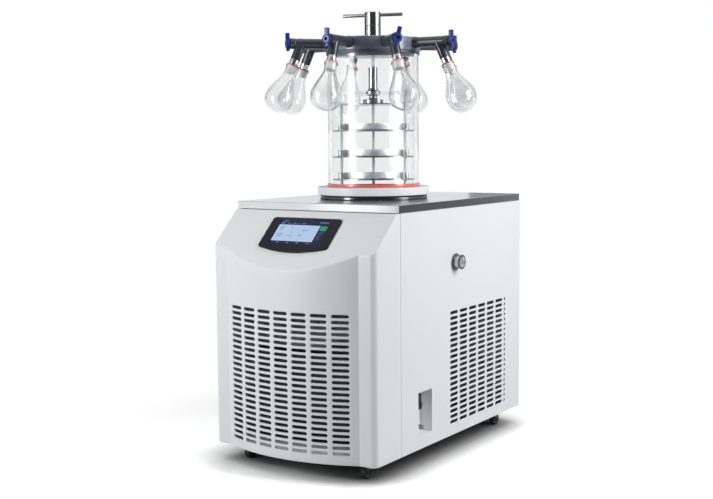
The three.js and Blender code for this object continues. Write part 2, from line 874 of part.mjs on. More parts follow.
// A valve knob drawn about its spindle along +X, with its lever up and its tab down.
function valveKnob() {
  const disc = rod(knobRadius, 0, knobThickness, 10).rotateY(Math.PI / 2);
  const lever = boxBetween([0, -leverWidth / 2, 0], [knobThickness, leverWidth / 2, leverTop]);
  const tab = boxBetween([0, -tabWidth / 2, -tabReach], [knobThickness - knobTabCut, tabWidth / 2, 0]);
  const bore = rod(knobBore, knobThickness - knobBoreDepth, knobThickness + 5, 6).rotateY(Math.PI / 2);
  return geometryOf(joined(disc, lever, tab).subtract(solid(bore)));
}

// The mouth's corners lie further out than its flats, which clear the spigot.
const mouthRadius = (spigotRadius + gap) / Math.cos(Math.PI / flaskSides);

// A pear-shaped flask with its mouth at z 0 and its body towards +Z.
function flask() {
  const neck = flaskNeckLength;
  const neckRadius = mouthRadius + flaskWall;
  const body = flaskLength - neck;
  const outer = [
    [flaskRimRadius, 0], [neckRadius, flaskRimHeight], [neckRadius + 0.4, neck],
    [flaskBodyRadius * 0.9, neck + body * 0.44], [flaskBodyRadius, neck + body * 0.64],
    [flaskBodyRadius * 0.86, neck + body * 0.83], [flaskBodyRadius * 0.5, neck + body * 0.96],
    [0, flaskLength],
  ];
  return turned([...outer, ...insideOf(outer)], flaskSides);
}

// The inner wall of an open vessel, offset from its outer profile, from the bottom up to the mouth.
function insideOf(outer) {
  const inner = [];
  for (let i = outer.length - 1; i >= 0; i -= 1) {
    const before = outer[Math.max(i - 1, 0)];
    const after = outer[Math.min(i + 1, outer.length - 1)];
    const along = new THREE.Vector2(after[0] - before[0], after[1] - before[1]).normalize();
    const r = outer[i][0] - along.y * flaskWall;
    const z = outer[i][1] + along.x * flaskWall;
    if (i === outer.length - 1) inner.push([0, outer[i][1] - flaskWall]);
    else if (i === 0) inner.push([mouthRadius, 0]);
    else inner.push([r, z]);
  }
  return inner;
}

// Press

function hubBoss() {
  return turned(tubeProfile(spindleRadius + slideFit, hubRadius, 0, hubBossHeight), 16);
}

function teeHandle() {
  const bore = spindleRadius + slideFit;
  const profile = [[0, teeBoreDepth], [bore, teeBoreDepth], [bore, 0], [hubRadius, 0]];
  profile.push([hubRadius, teeHeadHeight - edgeCut], [hubRadius - edgeCut, teeHeadHeight]);
  profile.push([0, teeHeadHeight]);
  const bar = rod(barRadius, -barLength / 2, barLength / 2, 8).rotateY(Math.PI / 2);
  bar.translate(0, 0, teeHeadHeight - barDrop);
  return geometryOf(joined(turned(profile, 16, true), bar));
}

const rackFloorZ = chamberFloorZ + gap;
const pressPlateZ = rackFloorZ + pressPlateRise;

// The spindle with its guide sleeve and the two collars over the press plate, from the plate up.
function pressSpindle() {
  const foot = pressPlateThickness + gap;
  const top = teeZ + spindleTopInHead - pressPlateZ;
  const footTop = foot + footCollarHeight;
  const upper = foot + upperCollarRise;
  const upperTop = upper + upperCollarHeight;
  const sleeve = foot + sleeveFootRise;
  const flareTop = sleeve + 1 + sleeveFlareHeight;
  const sleeveTop = sleeve + guideSleeveLength;
  return turned([
    [0, foot], [footCollarRadius, foot], [footCollarRadius, footTop],
    [collarNeckRadius, footTop + collarCut], [collarNeckRadius, upper - collarCut],
    [upperCollarRadius, upper], [upperCollarRadius, upperTop],
    [guideSleeveRadius + sleeveFlare, sleeve + 1], [guideSleeveRadius, flareTop],
    [guideSleeveRadius, sleeveTop], [spindleRadius, sleeveTop], [spindleRadius, top], [0, top],
  ], 12, true);
}

function guideSpots() {
  return [0, 1, 2].map((i) => {
    const angle = radians(rackTurnDeg + 120 * i);
    return [rodCircle * Math.cos(angle), rodCircle * Math.sin(angle)];
  });
}

// Drills a body for the guide rods.
function drilled(body) {
  let rest = body;
  for (const [x, y] of guideSpots()) {
    const drill = rod(rodRadius + slideFit, -bossHeight, 3 * bossHeight, rodSides);
    rest = rest.subtract(solid(drill.translate(x, y, 0)));
  }
  return geometryOf(rest);
}

function pressPlate() {
  return drilled(solid(uprightPrism(circle(shelfRadius, 24), 0, pressPlateThickness)));
}

// A shelf with a guide boss around each rod.
function shelf() {
  let body = solid(uprightPrism(circle(shelfRadius, 24), 0, shelfThickness));
  for (const [x, y] of guideSpots()) {
    const boss = rod(bossRadius, shelfThickness - 1, shelfThickness + bossHeight, rodSides);
    body = body.add(solid(boss.translate(x, y, 0)));
  }
  return drilled(body);
}

function rackFrame() {
  const bore = circle(rackRingBore, 16).reverse();
  let frame = solid(uprightPrism(circle(shelfRadius, 24), rackRingRise, rackRingThickness, [bore]));
  const rodTop = rackRingRise + rackRingThickness + rodTopProud;
  for (const [x, y] of guideSpots()) {
    const profile = [[0, 0], [rodFootRadius, 0], [rodFootRadius, rodFootHeight]];
    profile.push([rodRadius, rodFootHeight], [rodRadius, rodTop], [0, rodTop]);
    frame = frame.add(solid(turned(profile, rodSides, true).translate(x, y, 0)));
  }
  return geometryOf(frame);
}

function tray() {
  const profile = [[0, 0], [trayRadius, 0], [trayRadius, trayHeight], [trayRadius - trayWall, trayHeight]];
  profile.push([trayRadius - trayWall, trayWall], [0, trayWall]);
  return turned(profile, 24, true);
}

// Machinery

const radiatorZ = panTopZ + gap;

function radiator() {
  const half = radiatorWidth / 2;
  return boxBetween([-half, 0, 0], [half, radiatorDepth, radiatorHeight]);
}

// A pressed plate with a round throat, a bridge across it and the fan's motor on the bridge.
function fanShroud() {
  const [half, middle] = [radiatorWidth / 2, radiatorHeight / 2];
  const throat = fanRadius + fanClear;
  const plate = boxBetween([-half, 0, 0], [half, shroudDepth, radiatorHeight]);
  const hollow = boxBetween(
    [-half + shroudSheet, -seamOverlap, shroudSheet],
    [half - shroudSheet, shroudDepth - shroudSheet, radiatorHeight - shroudSheet],
  );
  const mouth = rod(throat, -seamOverlap, shroudDepth + seamOverlap, 20);
  mouth.rotateX(-Math.PI / 2).translate(0, 0, middle);
  const front = shroudDepth + fanBridgeSetBack;
  const [low, high] = [middle - bridgeHalfHeight, middle + bridgeHalfHeight];
  const reach = throat + bridgeOverlap;
  const bridge = boxBetween([-reach, front, low], [reach, front + bridgeSheet, high]);
  const motor = rod(fanMotorRadius, front + 1, front + fanMotorLength, 10);
  motor.rotateX(-Math.PI / 2).translate(0, 0, middle);
  let body = solid(plate).subtract(solid(hollow)).subtract(solid(mouth));
  body = body.add(solid(bridge)).add(solid(motor));
  for (const x of [-reach, reach - bridgeSheet]) {
    const post = boxBetween([x, shroudDepth - 1, low], [x + bridgeSheet, front + 2, high]);
    body = body.add(solid(post));
  }
  return geometryOf(body);
}

// Pitched blades around a hub, drawn about a spindle along Y.
function fanBlades() {
  let fan = solid(rod(fanHubRadius, 0, fanHubLength, 10));
  for (let i = 0; i < fanBladeCount; i += 1) {
    const blade = new THREE.BoxGeometry(fanRadius - fanHubRadius + bladeRoot, bladeChord, bladeThickness);
    blade.rotateX(radians(bladePitchDeg));
    blade.translate((fanRadius + fanHubRadius - bladeRoot) / 2, 0, fanHubLength / 2);
    fan = fan.add(solid(blade.rotateZ((2 * Math.PI * i) / fanBladeCount)));
  }
  const room = solid(rod(fanRadius, -bladeChord, 2 * bladeChord, 20));
  return geometryOf(fan.intersect(room)).rotateX(-Math.PI / 2);
}

function compressor() {
  const [r, h] = [compressorRadius, compressorHeight];
  const can = turned([
    [0, compressorFoot - 4], [r * 0.7, compressorFoot - 2], [r, h * 0.15], [r, h * 0.45],
    [r + compressorBand, h * 0.46], [r + compressorBand, h * 0.5], [r, h * 0.51], [r, h * 0.86],
    [r * 0.7, h * 0.97], [0, h],
  ], 12, true);
  let body = solid(can);
  for (const [x, y] of [[-1, -1], [1, -1], [1, 1], [-1, 1]]) {
    const foot = rod(compressorFootRadius, 0, compressorFoot + 1, 8);
    body = body.add(solid(foot.translate(x * r * 0.68, y * r * 0.68, 0)));
  }
  const reach = r * 0.8;
  const bracket = boxBetween([-reach, -reach, compressorFoot - 3], [reach, reach, compressorFoot]);
  return geometryOf(body.add(solid(bracket)));
}

// Assembly

const part = new THREE.Group();

function add(name, geometry, colour, roughness, metalness, place = [0, 0, 0], parent = part) {
  const material = new THREE.MeshStandardMaterial({ color: colour, roughness, metalness });
  const mesh = new THREE.Mesh(weld(geometry), material);
  mesh.name = name;
  mesh.position.set(...place);
  parent.add(mesh);
  return mesh;
}

const white = 0xe4e6e8;
const black = 0x17191c;
const steel = 0xb9bcbf;
const glass = 0xe6eeee;

function addCabinet() {
  add('front_bezel', frontBezel(), white, 0.4, 0);
  add('right_side_panel', rightSidePanel(), white, 0.42, 0);
  add('left_side_panel', sidePanelBody(-1), white, 0.42, 0);
  add('rear_panel', rearPanel(), white, 0.42, 0);
  add('base_pan', basePan(), 0xc9ccce, 0.45, 0.6);
  add('worktop', worktop(), 0xdfe2e5, 0.12, 0.1);
  add('screen_frame', screenFrame(), black, 0.15, 0);
  add('display', displayUnit(), 0xb8cdf0, 0.2, 0);
}

function addFittings() {
  const inletPlace = [inletX, cabinetBackY, cabinetBottomZ + inletRise];
  const rockerFace = cabinetBackY + gap + inletPlate + rockerProud - rockerThickness / 2;
  add('drain_box', drainNiche(), 0xb4b8bb, 0.4, 0);
  add('drain_valve', drainValve(), 0xeeeeec, 0.4, 0);
  const pivot = [drainLeverX, nicheMiddleY, nicheFloorZ + drainPivotRise];
  add('drain_lever', drainLever(), black, 0.45, 0, pivot);
  add('vacuum_port', vacuumPort(), steel, 0.22, 1, [halfCabinet, portY, portZ]);
  add('power_inlet', powerInlet(), black, 0.5, 0, inletPlace);
  add('power_switch', powerSwitch(), 0x8f1f1c, 0.4, 0, [inletX, rockerFace, inletPlace[2] + rockerLift]);
}

function addCastors() {
  const names = ['front_left', 'front_right', 'rear_left', 'rear_right'];
  castorSpots().forEach(([x, y], i) => {
    add(`castor_fork_${names[i]}`, castorFork(), 0x8d9194, 0.35, 0.8, [x, y, 0]);
    add(`castor_wheel_${names[i]}`, castorWheel(), black, 0.6, 0, [x, y + forkTrail, wheelRadius]);
  });
}

function addMachinery() {
  const shroudY = radiatorY + radiatorDepth + gap;
  const fanY = shroudY + shroudDepth + fanBridgeSetBack - gap - fanHubLength;
  add('cold_trap', coldTrap(), steel, 0.3, 1, [0, chamberY, worktopZ]);
  add('radiator', radiator(), 0x3a3d40, 0.5, 0.7, [0, radiatorY, radiatorZ]);
  add('fan_shroud', fanShroud(), 0x5a5e61, 0.5, 0.5, [0, shroudY, radiatorZ]);
  add('fan_blades', fanBlades(), 0x222426, 0.5, 0, [0, fanY, radiatorZ + radiatorHeight / 2]);
  add('compressor', compressor(), 0x1d1f21, 0.4, 0.4, [compressorX, compressorY, panTopZ + gap]);
}

function addChamber() {
  add('seat_ring', seatRing(), black, 0.2, 0, [0, chamberY, seatZ]);
  add('base_flange', baseFlange(), 0xd5d7d8, 0.25, 0.2, [0, chamberY, baseFlangeZ]);
  add('base_seal', sealRing(), 0xd8402f, 0.45, 0, [0, chamberY, chamberFloorZ + gap]);
  add('chamber_tube', chamberTube(), glass, 0.05, 0, [0, chamberY, tubeZ]);
  const coverSeal = add('cover_seal', sealRing(), 0x55595d, 0.5, 0, [0, chamberY, coverZ - gap]);
  coverSeal.rotation.x = Math.PI;
  add('manifold_cover', manifoldCover(), black, 0.4, 0, [0, chamberY, coverZ]);
}

function addPorts() {
  const flaskStart = legLength + sleeveLength + stopRingThickness + gap;
  for (let i = 0; i < portCount; i += 1) {
    const holder = new THREE.Group();
    holder.position.set(0, chamberY, coverZ);
    holder.rotation.z = radians(firstPortDeg + (360 / portCount) * i);
    part.add(holder);
    const place = [armReach + gap, 0, armRise];
    const knob = add(`valve_knob_${i + 1}`, valveKnob(), 0x24459c, 0.35, 0, place, holder);
    knob.rotation.x = radians(leverTurns[i]);
    const vessel = alongLeg(flask().translate(0, 0, flaskStart));
    add(`flask_${i + 1}`, vessel, glass, 0.05, 0, [0, 0, 0], holder);
  }
}

function addPress() {
  add('hub_boss', hubBoss(), steel, 0.2, 1, [0, chamberY, hubBossZ]);
  const tee = add('tee_handle', teeHandle(), 0xb5aca3, 0.22, 1, [0, chamberY, teeZ]);
  tee.rotation.z = radians(barTurnDeg);
  add('press_spindle', pressSpindle(), steel, 0.2, 1, [0, chamberY, pressPlateZ]);
  add('press_plate', pressPlate(), steel, 0.25, 1, [0, chamberY, pressPlateZ]);
}

function addRack() {
  add('rack_frame', rackFrame(), steel, 0.25, 1, [0, chamberY, rackFloorZ]);
  shelfRises.forEach((rise, i) => {
    const z = rackFloorZ + rise;
    add(`shelf_${i + 1}`, shelf(), steel, 0.25, 1, [0, chamberY, z]);
    add(`tray_${i + 1}`, tray(), 0xd0d2d4, 0.15, 1, [0, chamberY, z + shelfThickness + gap]);
  });
}

addCabinet();
addFittings();
addCastors();
addMachinery();
addChamber();
addPorts();
addPress();
addRack();

export default part;
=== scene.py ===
import math
import bmesh
import bpy
from mathutils import Matrix, Vector


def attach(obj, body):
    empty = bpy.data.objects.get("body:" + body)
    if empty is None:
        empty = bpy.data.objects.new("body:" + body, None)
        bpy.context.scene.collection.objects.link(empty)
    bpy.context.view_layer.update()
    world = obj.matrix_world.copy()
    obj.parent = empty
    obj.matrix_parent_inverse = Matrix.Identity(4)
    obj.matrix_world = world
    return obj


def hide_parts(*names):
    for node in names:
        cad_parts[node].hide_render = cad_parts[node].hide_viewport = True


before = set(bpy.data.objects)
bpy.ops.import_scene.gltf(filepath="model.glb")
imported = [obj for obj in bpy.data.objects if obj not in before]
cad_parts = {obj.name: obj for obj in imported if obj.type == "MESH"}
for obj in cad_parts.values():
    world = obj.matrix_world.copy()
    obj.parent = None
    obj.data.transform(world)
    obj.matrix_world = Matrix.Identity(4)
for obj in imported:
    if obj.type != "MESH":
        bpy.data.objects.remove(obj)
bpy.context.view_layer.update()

mm = 0.001
chamberY = 14.4  # the chamber's axis, in millimetres as all sizes of the pieces are
gap = 0.3  # the play between two pieces that rest on each other
hair = 0.01


def tone(red, green, blue):
    # A colour as a screen shows it, 0 to 255, turned into the shader's own numbers.
    shares = [c / 255 for c in (red, green, blue)]
    return tuple(((c + 0.055) / 1.055) ** 2.4 if c > 0.04045 else c / 12.92 for c in shares) + (1,)


white = (1, 1, 1, 1)


def setUp(name, data):
    # A new object of the scene.
    made = bpy.data.objects.new(name, data)
    bpy.context.scene.collection.objects.link(made)
    return made


def feed(tree, node, inputs):
    # Each input is given as a value, or as the output that feeds it.
    for socket, value in inputs.items():
        if isinstance(value, bpy.types.NodeSocket):
            tree.links.new(value, node.inputs[socket])
        else:
            node.inputs[socket].default_value = value


def addNode(tree, kind, inputs=None, **settings):
    node = tree.nodes.new("ShaderNode" + kind)
    for name, value in settings.items():
        setattr(node, name, value)
    feed(tree, node, inputs or {})
    return node


def mixed(tree, amount, first, second):
    return addNode(tree, "MixShader", {"Fac": amount, 1: first.outputs[0], 2: second.outputs[0]})


def anyRay(tree, *kinds):
    # 1 for the rays of any of these kinds.
    path = addNode(tree, "LightPath")
    total = path.outputs[f"Is {kinds[0]} Ray"]
    for kind in kinds[1:]:
        either = addNode(tree, "Math", {0: total, 1: path.outputs[f"Is {kind} Ray"]}, operation="MAXIMUM")
        total = either.outputs[0]
    return total


def bareMaterial(name):
    made = bpy.data.materials.new(name)
    made.use_nodes = True
    made.node_tree.nodes.clear()
    return made


# Camera, lamps, world and floor

shot = {"place": (1.7439, -2.7254, 0.8513), "yaw": 33.341, "dip": 5.44, "roll": -0.44, "lens": 58.96,
        "sensor": 36}


def addCamera():
    yaw, dip, roll = (math.radians(shot[k]) for k in ("yaw", "dip", "roll"))
    ahead = Vector((-math.sin(yaw) * math.cos(dip), math.cos(yaw) * math.cos(dip), -math.sin(dip)))
    side = Vector((math.cos(yaw), math.sin(yaw), 0))
    up = side.cross(ahead)
    right = side * math.cos(roll) + up * math.sin(roll)
    lifted = up * math.cos(roll) - side * math.sin(roll)
    lens = bpy.data.cameras.new("camera")
    lens.lens = shot["lens"]
    lens.sensor_width = shot["sensor"]
    eye = setUp("camera", lens)
    facing = Matrix((right, lifted, -ahead)).transposed().to_4x4()
    eye.matrix_world = Matrix.Translation(shot["place"]) @ facing
    bpy.context.scene.camera = eye


addCamera()
bpy.context.scene.view_settings.view_transform = "Standard"

lamps = {
    "left_softbox": {"place": (-1.0, -2.25, 1.08), "size": (0.6, 1.3), "power": 35.5},
    "right_softbox": {"place": (2.3, 0.42, 1.6), "size": (0.8, 1.9), "power": 54},
    "top_softbox": {"place": (-0.4, 0.2, 3.2), "size": (2.0, 2.0), "power": 5},
}
lampAim = Vector((0, 0, 0.6))
# Cards round the set, which the lens never sees: the angles they span from the camera's side, in degrees,
# how light they are, and whether they are seen in gloss or through glass.
cards = {
    "front_card": {"from": -42, "to": 44, "foot": 0.01, "light": 0.05, "rays": "gloss"},
    "front_glass_card": {"from": -16, "to": 18, "foot": 0.01, "light": 0.13, "rays": "glass"},
    "front_left_glass_card": {"from": -38, "to": -16, "foot": 0.01, "light": 0.3, "rays": "glass"},
    "front_right_glass_card": {"from": 18, "to": 40, "foot": 0.01, "light": 0.3, "rays": "glass"},
    "far_left_glass_card": {"from": -60, "to": -38, "foot": 0.01, "light": 0.6, "rays": "glass"},
    "far_right_glass_card": {"from": 40, "to": 62, "foot": 0.01, "light": 0.6, "rays": "glass"},
    "left_card": {"from": -165, "to": -104, "foot": 0.85, "light": 0.1, "rays": "gloss"},
    "left_glass_card": {"from": -141, "to": -104, "foot": 0.85, "light": 0.14, "rays": "glass"},
    "right_card": {"from": 104, "to": 141, "foot": 0.85, "light": 0.2, "rays": "gloss"},
    "right_glass_card": {"from": 104, "to": 141, "foot": 0.85, "light": 0.14, "rays": "glass"},
    "right_back_card": {"from": 141.5, "to": 171, "foot": 0.72, "light": 0.3, "rays": "gloss"},
}
cardRing = {"reach": 3.7, "top": 4.6, "steps": 24}
cameraSide = math.degrees(math.atan2(shot["place"][1], shot["place"][0]))


def addLamps():
    for name, lamp in lamps.items():
        light = bpy.data.lights.new(name, "AREA")
        light.shape = "RECTANGLE"
        light.size, light.size_y = lamp["size"]
        light.energy = lamp["power"]
        holder = setUp(name, light)
        holder.location = lamp["place"]
        holder.rotation_euler = (lampAim - holder.location).to_track_quat("-Z", "Y").to_euler()


def addCards():
    steps, reach = cardRing["steps"], cardRing["reach"]
    for name, card in cards.items():
        rim = []
        for k in range(steps + 1):
            angle = math.radians(cameraSide + card["from"] + (card["to"] - card["from"]) * k / steps)
            rim.append((reach * math.cos(angle), reach * math.sin(angle)))
        points = [(x, y, z) for z in (card["foot"], cardRing["top"]) for x, y in rim]
        mesh = bpy.data.meshes.new(name)
        mesh.from_pydata(points, [], [(k, k + 1, steps + k + 2, steps + k + 1) for k in range(steps)])
        made = bareMaterial(name)
        felt = addNode(made.node_tree, "Emission", {"Color": white, "Strength": card["light"]})
        addNode(made.node_tree, "OutputMaterial", {"Surface": felt.outputs[0]})
        mesh.materials.append(made)
        holder = setUp(name, mesh)
        holder.visible_camera = False
        holder.visible_diffuse = False
        holder.visible_shadow = False
        holder.visible_glossy = card["rays"] == "gloss"
        holder.visible_transmission = card["rays"] == "glass"


backdropRays = ("Camera", "Glossy", "Transmission")
studio = {"fill": 0.2, "backdrop": 1}


def addWorld():
    world = bpy.data.worlds.new("studio")
    bpy.context.scene.world = world
    world.use_nodes = True
    tree = world.node_tree
    tree.nodes.clear()
    fill = addNode(tree, "Background", {"Color": white, "Strength": studio["fill"]})
    seen = addNode(tree, "Background", {"Color": white, "Strength": studio["backdrop"]})
    mix = mixed(tree, anyRay(tree, *backdropRays), fill, seen)
    addNode(tree, "OutputWorld", {"Surface": mix.outputs[0]})


floorLook = {"reach": 60, "paper": 0.2, "seen": 2.0, "fadeFrom": 0.56, "fadeTo": 0.92, "nearShade": 0.14,
             "shadePower": 1.5}


def addFloor():
    look = floorLook
    reach = look["reach"]
    mesh = bpy.data.meshes.new("floor")
    corners = [(-reach, -reach, 0), (reach, -reach, 0), (reach, reach, 0), (-reach, reach, 0)]
    mesh.from_pydata(corners, [], [(0, 1, 2, 3)])
    made = bareMaterial("floor_paper")
    tree = made.node_tree
    paper = addNode(tree, "BsdfDiffuse", {"Color": (look["paper"],) * 3 + (1,)})
    # Where the cabinet stands close over the floor, its ambient occlusion darkens the paper's colour: a
    # painted shade, deeper close under it.
    close = addNode(tree, "AmbientOcclusion", {"Distance": look["nearShade"]})
    deep = addNode(tree, "Math", {0: close.outputs["AO"], 1: look["shadePower"]}, operation="POWER")
    bright = addNode(tree, "Math", {0: deep.outputs[0], 1: look["seen"]}, operation="MULTIPLY")
    seen = addNode(tree, "BsdfDiffuse", {"Color": bright.outputs[0]})
    # Away from the middle the paper runs out into the white backdrop.
    spot = addNode(tree, "NewGeometry").outputs["Position"]
    away = addNode(tree, "VectorMath", {0: spot}, operation="LENGTH").outputs["Value"]
    fade = addNode(tree, "MapRange", {"Value": away, "From Min": look["fadeFrom"],
                                      "From Max": look["fadeTo"]}, interpolation_type="SMOOTHSTEP")
    backdrop = addNode(tree, "Emission", {"Strength": studio["backdrop"]})
    ground = mixed(tree, fade.outputs["Result"], seen, backdrop)
    mix = mixed(tree, anyRay(tree, *backdropRays), paper, ground)
    addNode(tree, "OutputMaterial", {"Surface": mix.outputs[0]})
    mesh.materials.append(made)
    setUp("floor", mesh)


addLamps()
addCards()
addWorld()
addFloor()
print("stage: camera, lamps, cards and floor are up")


# Finishes

metal = {"Metallic": 1.0}


def coat(weight, roughness):
    return {"Coat Weight": weight, "Coat Roughness": roughness}


def paint(colour, shade, cloud, rough, grain, **more):
    # A colour clouded by a second shade, the clouds per metre, the span of roughness and the grain that the
    # light catches, as its scale and strength. lines stretches the grain, rings turns it round the chamber.
    look = {"colour": tone(*colour), "shade": tone(*shade), "cloud": cloud, "rough": rough, "grain": grain}
    return look | more


def glass(colour, rough, grain, passed, bend, gloss=None):
    sockets = {"Transmission Weight": passed, "IOR": bend} | (gloss or {})
    return {"colour": colour + (1,), "rough": rough, "grain": grain, "sockets": sockets,
            "letsLightIn": True}


def lit(colour, glow, glowShade):
    return {"colour": tone(*colour), "rough": (0.18, 0.26), "sockets": {"Specular IOR Level": 0.12},
            "glow": tone(*glow), "glowShade": tone(*glowShade)}


finishes = {
    # the cabinet
    "moulding": paint((235, 238, 239), (232, 235, 236), 6, (0.4, 0.48), (2600, 0.035)),
    "panel": paint((236, 239, 241), (233, 236, 239), 5, (0.4, 0.48), (900, 0.03)),
    "worktop_top": paint((150, 155, 163), (142, 147, 156), 4, (0.14, 0.2), (500, 0.01),
                         sockets=coat(0.3, 0.12)),
    # The worktop's light front edge and dark side edges are painted reflection of one slab.
    "worktop_front_painted_light": paint((232, 234, 236), (225, 228, 231), 9, (0.16, 0.24), (500, 0.01)),
    "worktop_side_painted_dark": paint((36, 40, 48), (31, 35, 42), 9, (0.2, 0.3), (500, 0.01)),
    # The niche's own near-white, also laid in the pump port's bore as painted light.
    "niche_grey": paint((247, 248, 249), (241, 243, 245), 25, (0.4, 0.5), (1500, 0.04)),
    "valve_white": paint((236, 237, 236), (226, 228, 227), 60, (0.35, 0.45), (2000, 0.04)),
    "fins": paint((62, 65, 68), (30, 32, 34), 25, (0.45, 0.6), (420, 0.6), lines=(1, 0.02, 0.02),
                  sockets={"Metallic": 0.6}),
    "enamel": paint((30, 31, 33), (24, 25, 27), 20, (0.3, 0.42), (700, 0.08)),
    "rocker_red": paint((176, 34, 30), (160, 28, 26), 80, (0.25, 0.35), (1500, 0.04)),
    # black plastics
    "black_plastic": paint((44, 48, 56), (38, 42, 50), 30, (0.28, 0.4), (1500, 0.05)),
    "cover_black": paint((62, 67, 79), (54, 59, 71), 18, (0.18, 0.26), (1500, 0.04), rings=True),
    "cover_slate": paint((128, 136, 154), (119, 127, 145), 18, (0.16, 0.24), (1500, 0.04), rings=True),
    "black_gloss": paint((32, 35, 46), (27, 30, 40), 20, (0.16, 0.24), (400, 0.01), sockets=coat(1.0, 0.1)),
    "screen_black": paint((18, 22, 38), (14, 18, 32), 20, (0.2, 0.3), (800, 0.01),
                          sockets={"Specular IOR Level": 0.16}),
    # Near-black for the castor forks: partly the castors' own dark colour, partly painted shade from under
    # the cabinet on zinc forks.
    "castor_black": paint((46, 48, 51), (36, 38, 41), 70, (0.35, 0.5), (900, 0.06),
                          sockets={"Metallic": 0.3}),
    "lever_black": paint((26, 28, 32), (21, 23, 27), 60, (0.4, 0.5), (1200, 0.06),
                         sockets={"Specular IOR Level": 0.2}),
    "tread": paint((34, 35, 37), (27, 28, 30), 60, (0.55, 0.7), (900, 0.15)),
    # metals
    "turned_steel": paint((170, 172, 176), (152, 154, 160), 60, (0.18, 0.26), (1800, 0.03), rings=True,
                          sockets=metal),
    "tee_steel": paint((154, 151, 148), (140, 137, 134), 60, (0.3, 0.4), (1600, 0.04), rings=True,
                       sockets=metal),
    "sheet_steel": paint((176, 179, 183), (160, 163, 168), 40, (0.16, 0.26), (700, 0.06),
                         lines=(1, 0.05, 1),
                         sockets=metal),
    "tray_steel": paint((188, 190, 195), (176, 179, 184), 30, (0.46, 0.56), (900, 0.04), rings=True,
                        sockets=metal),
    "sleeve_steel": paint((205, 206, 209), (184, 186, 190), 90, (0.22, 0.3), (1500, 0.03), sockets=metal),
    "rod_steel": paint((246, 247, 248), (238, 240, 242), 60, (0.4, 0.5), (1500, 0.04)),
    "flange_white": paint((240, 241, 243), (234, 235, 238), 20, (0.36, 0.46), (1200, 0.05), rings=True),
    "port_grey": paint((88, 91, 96), (76, 79, 84), 60, (0.3, 0.42), (1200, 0.06),
                       sockets={"Metallic": 0.3}),
    "zinc": paint((150, 154, 158), (128, 132, 138), 70, (0.3, 0.45), (900, 0.06),
                  sockets={"Metallic": 0.9}),
    # glass and clear plastic
    "clear_tube": glass((0.94, 0.95, 0.95), (0.0, 0.012), (60, 0.0015), 1.0, 1.16, coat(0.4, 0.12)),
    "blown_glass": glass((0.89, 0.9, 0.9), (0.0, 0.01), (36, 0.0015), 1.0, 1.45),
    "ground_glass": glass((0.95, 0.955, 0.955), (0.16, 0.24), (1800, 0.03), 0.94, 1.4),
    "clear_plate": glass((0.93, 0.935, 0.935), (0.02, 0.06), (40, 0.01), 1.0, 1.12),
    # silicone and the valve knobs
    "red_silicone": paint((220, 106, 104), (208, 92, 91), 40, (0.3, 0.42), (900, 0.05),
                          sockets=coat(0.6, 0.08)),
    "pale_silicone": paint((242, 241, 240), (236, 235, 234), 60, (0.4, 0.55), (900, 0.06)),
    "grey_silicone": paint((82, 88, 99), (74, 80, 91), 40, (0.4, 0.55), (900, 0.08)),
    "knob_blue": paint((32, 56, 140), (26, 47, 124), 60, (0.26, 0.38), (1800, 0.06)),
    # the lit screen
    "screen_field": lit((10, 12, 18), (178, 201, 230), (170, 194, 226)),
    "screen_navy": lit((8, 10, 20), (18, 32, 66), (13, 24, 54)),
    "screen_green": lit((8, 20, 14), (50, 158, 104), (42, 144, 92)),
    "screen_mark": lit((20, 24, 34), (88, 108, 150), (78, 98, 138)),
    "screen_ink": lit((12, 14, 20), (92, 108, 150), (84, 100, 142)),
}
finishMade = {}
noiseLook = {"detail": 3.0, "grainDetail": 2.0, "grainDepth": 0.35, "cloud": 20, "glowCloud": 40,
             "roughRatio": 2.5}


def noiseOf(tree, spot, scale, detail=noiseLook["detail"]):
    return addNode(tree, "TexNoise", {"Scale": scale, "Detail": detail, "Vector": spot}).outputs["Fac"]


def blend(tree, amount, first, second):
    return addNode(tree, "Mix", {6: first, 7: second, "Factor": amount}, data_type="RGBA").outputs[2]


def ringSpot(tree, spot):
    # Distance from the chamber's axis and height, so a grain runs in circles.
    apart = addNode(tree, "SeparateXYZ", {0: spot})
    back = addNode(tree, "Math", {0: apart.outputs["Y"], 1: chamberY * mm}, operation="SUBTRACT")
    flat = addNode(tree, "CombineXYZ", {"X": apart.outputs["X"], "Y": back.outputs[0]})
    length = addNode(tree, "VectorMath", {0: flat.outputs[0]}, operation="LENGTH")
    return addNode(tree, "CombineXYZ", {"X": length.outputs["Value"], "Z": apart.outputs["Z"]}).outputs[0]


def letLightIn(tree, shader):
    # The lamps reach what stands behind clear glass.
    clear = addNode(tree, "BsdfTransparent", {"Color": shader.inputs["Base Color"].default_value})
    mix = mixed(tree, anyRay(tree, "Shadow", "Diffuse"), shader, clear)
    feed(tree, tree.nodes["Material Output"], {"Surface": mix.outputs[0]})


def grainOf(tree, spot, look):
    scale, strength = look["grain"]
    if look.get("rings"):
        spot = ringSpot(tree, spot)
    if "lines" in look:
        spot = addNode(tree, "Mapping", {"Scale": look["lines"], "Vector": spot}).outputs["Vector"]
    height = noiseOf(tree, spot, scale, noiseLook["grainDetail"])
    depth = noiseLook["grainDepth"] / scale
    bump = addNode(tree, "Bump", {"Strength": strength, "Distance": depth, "Height": height})
    return bump.outputs["Normal"]


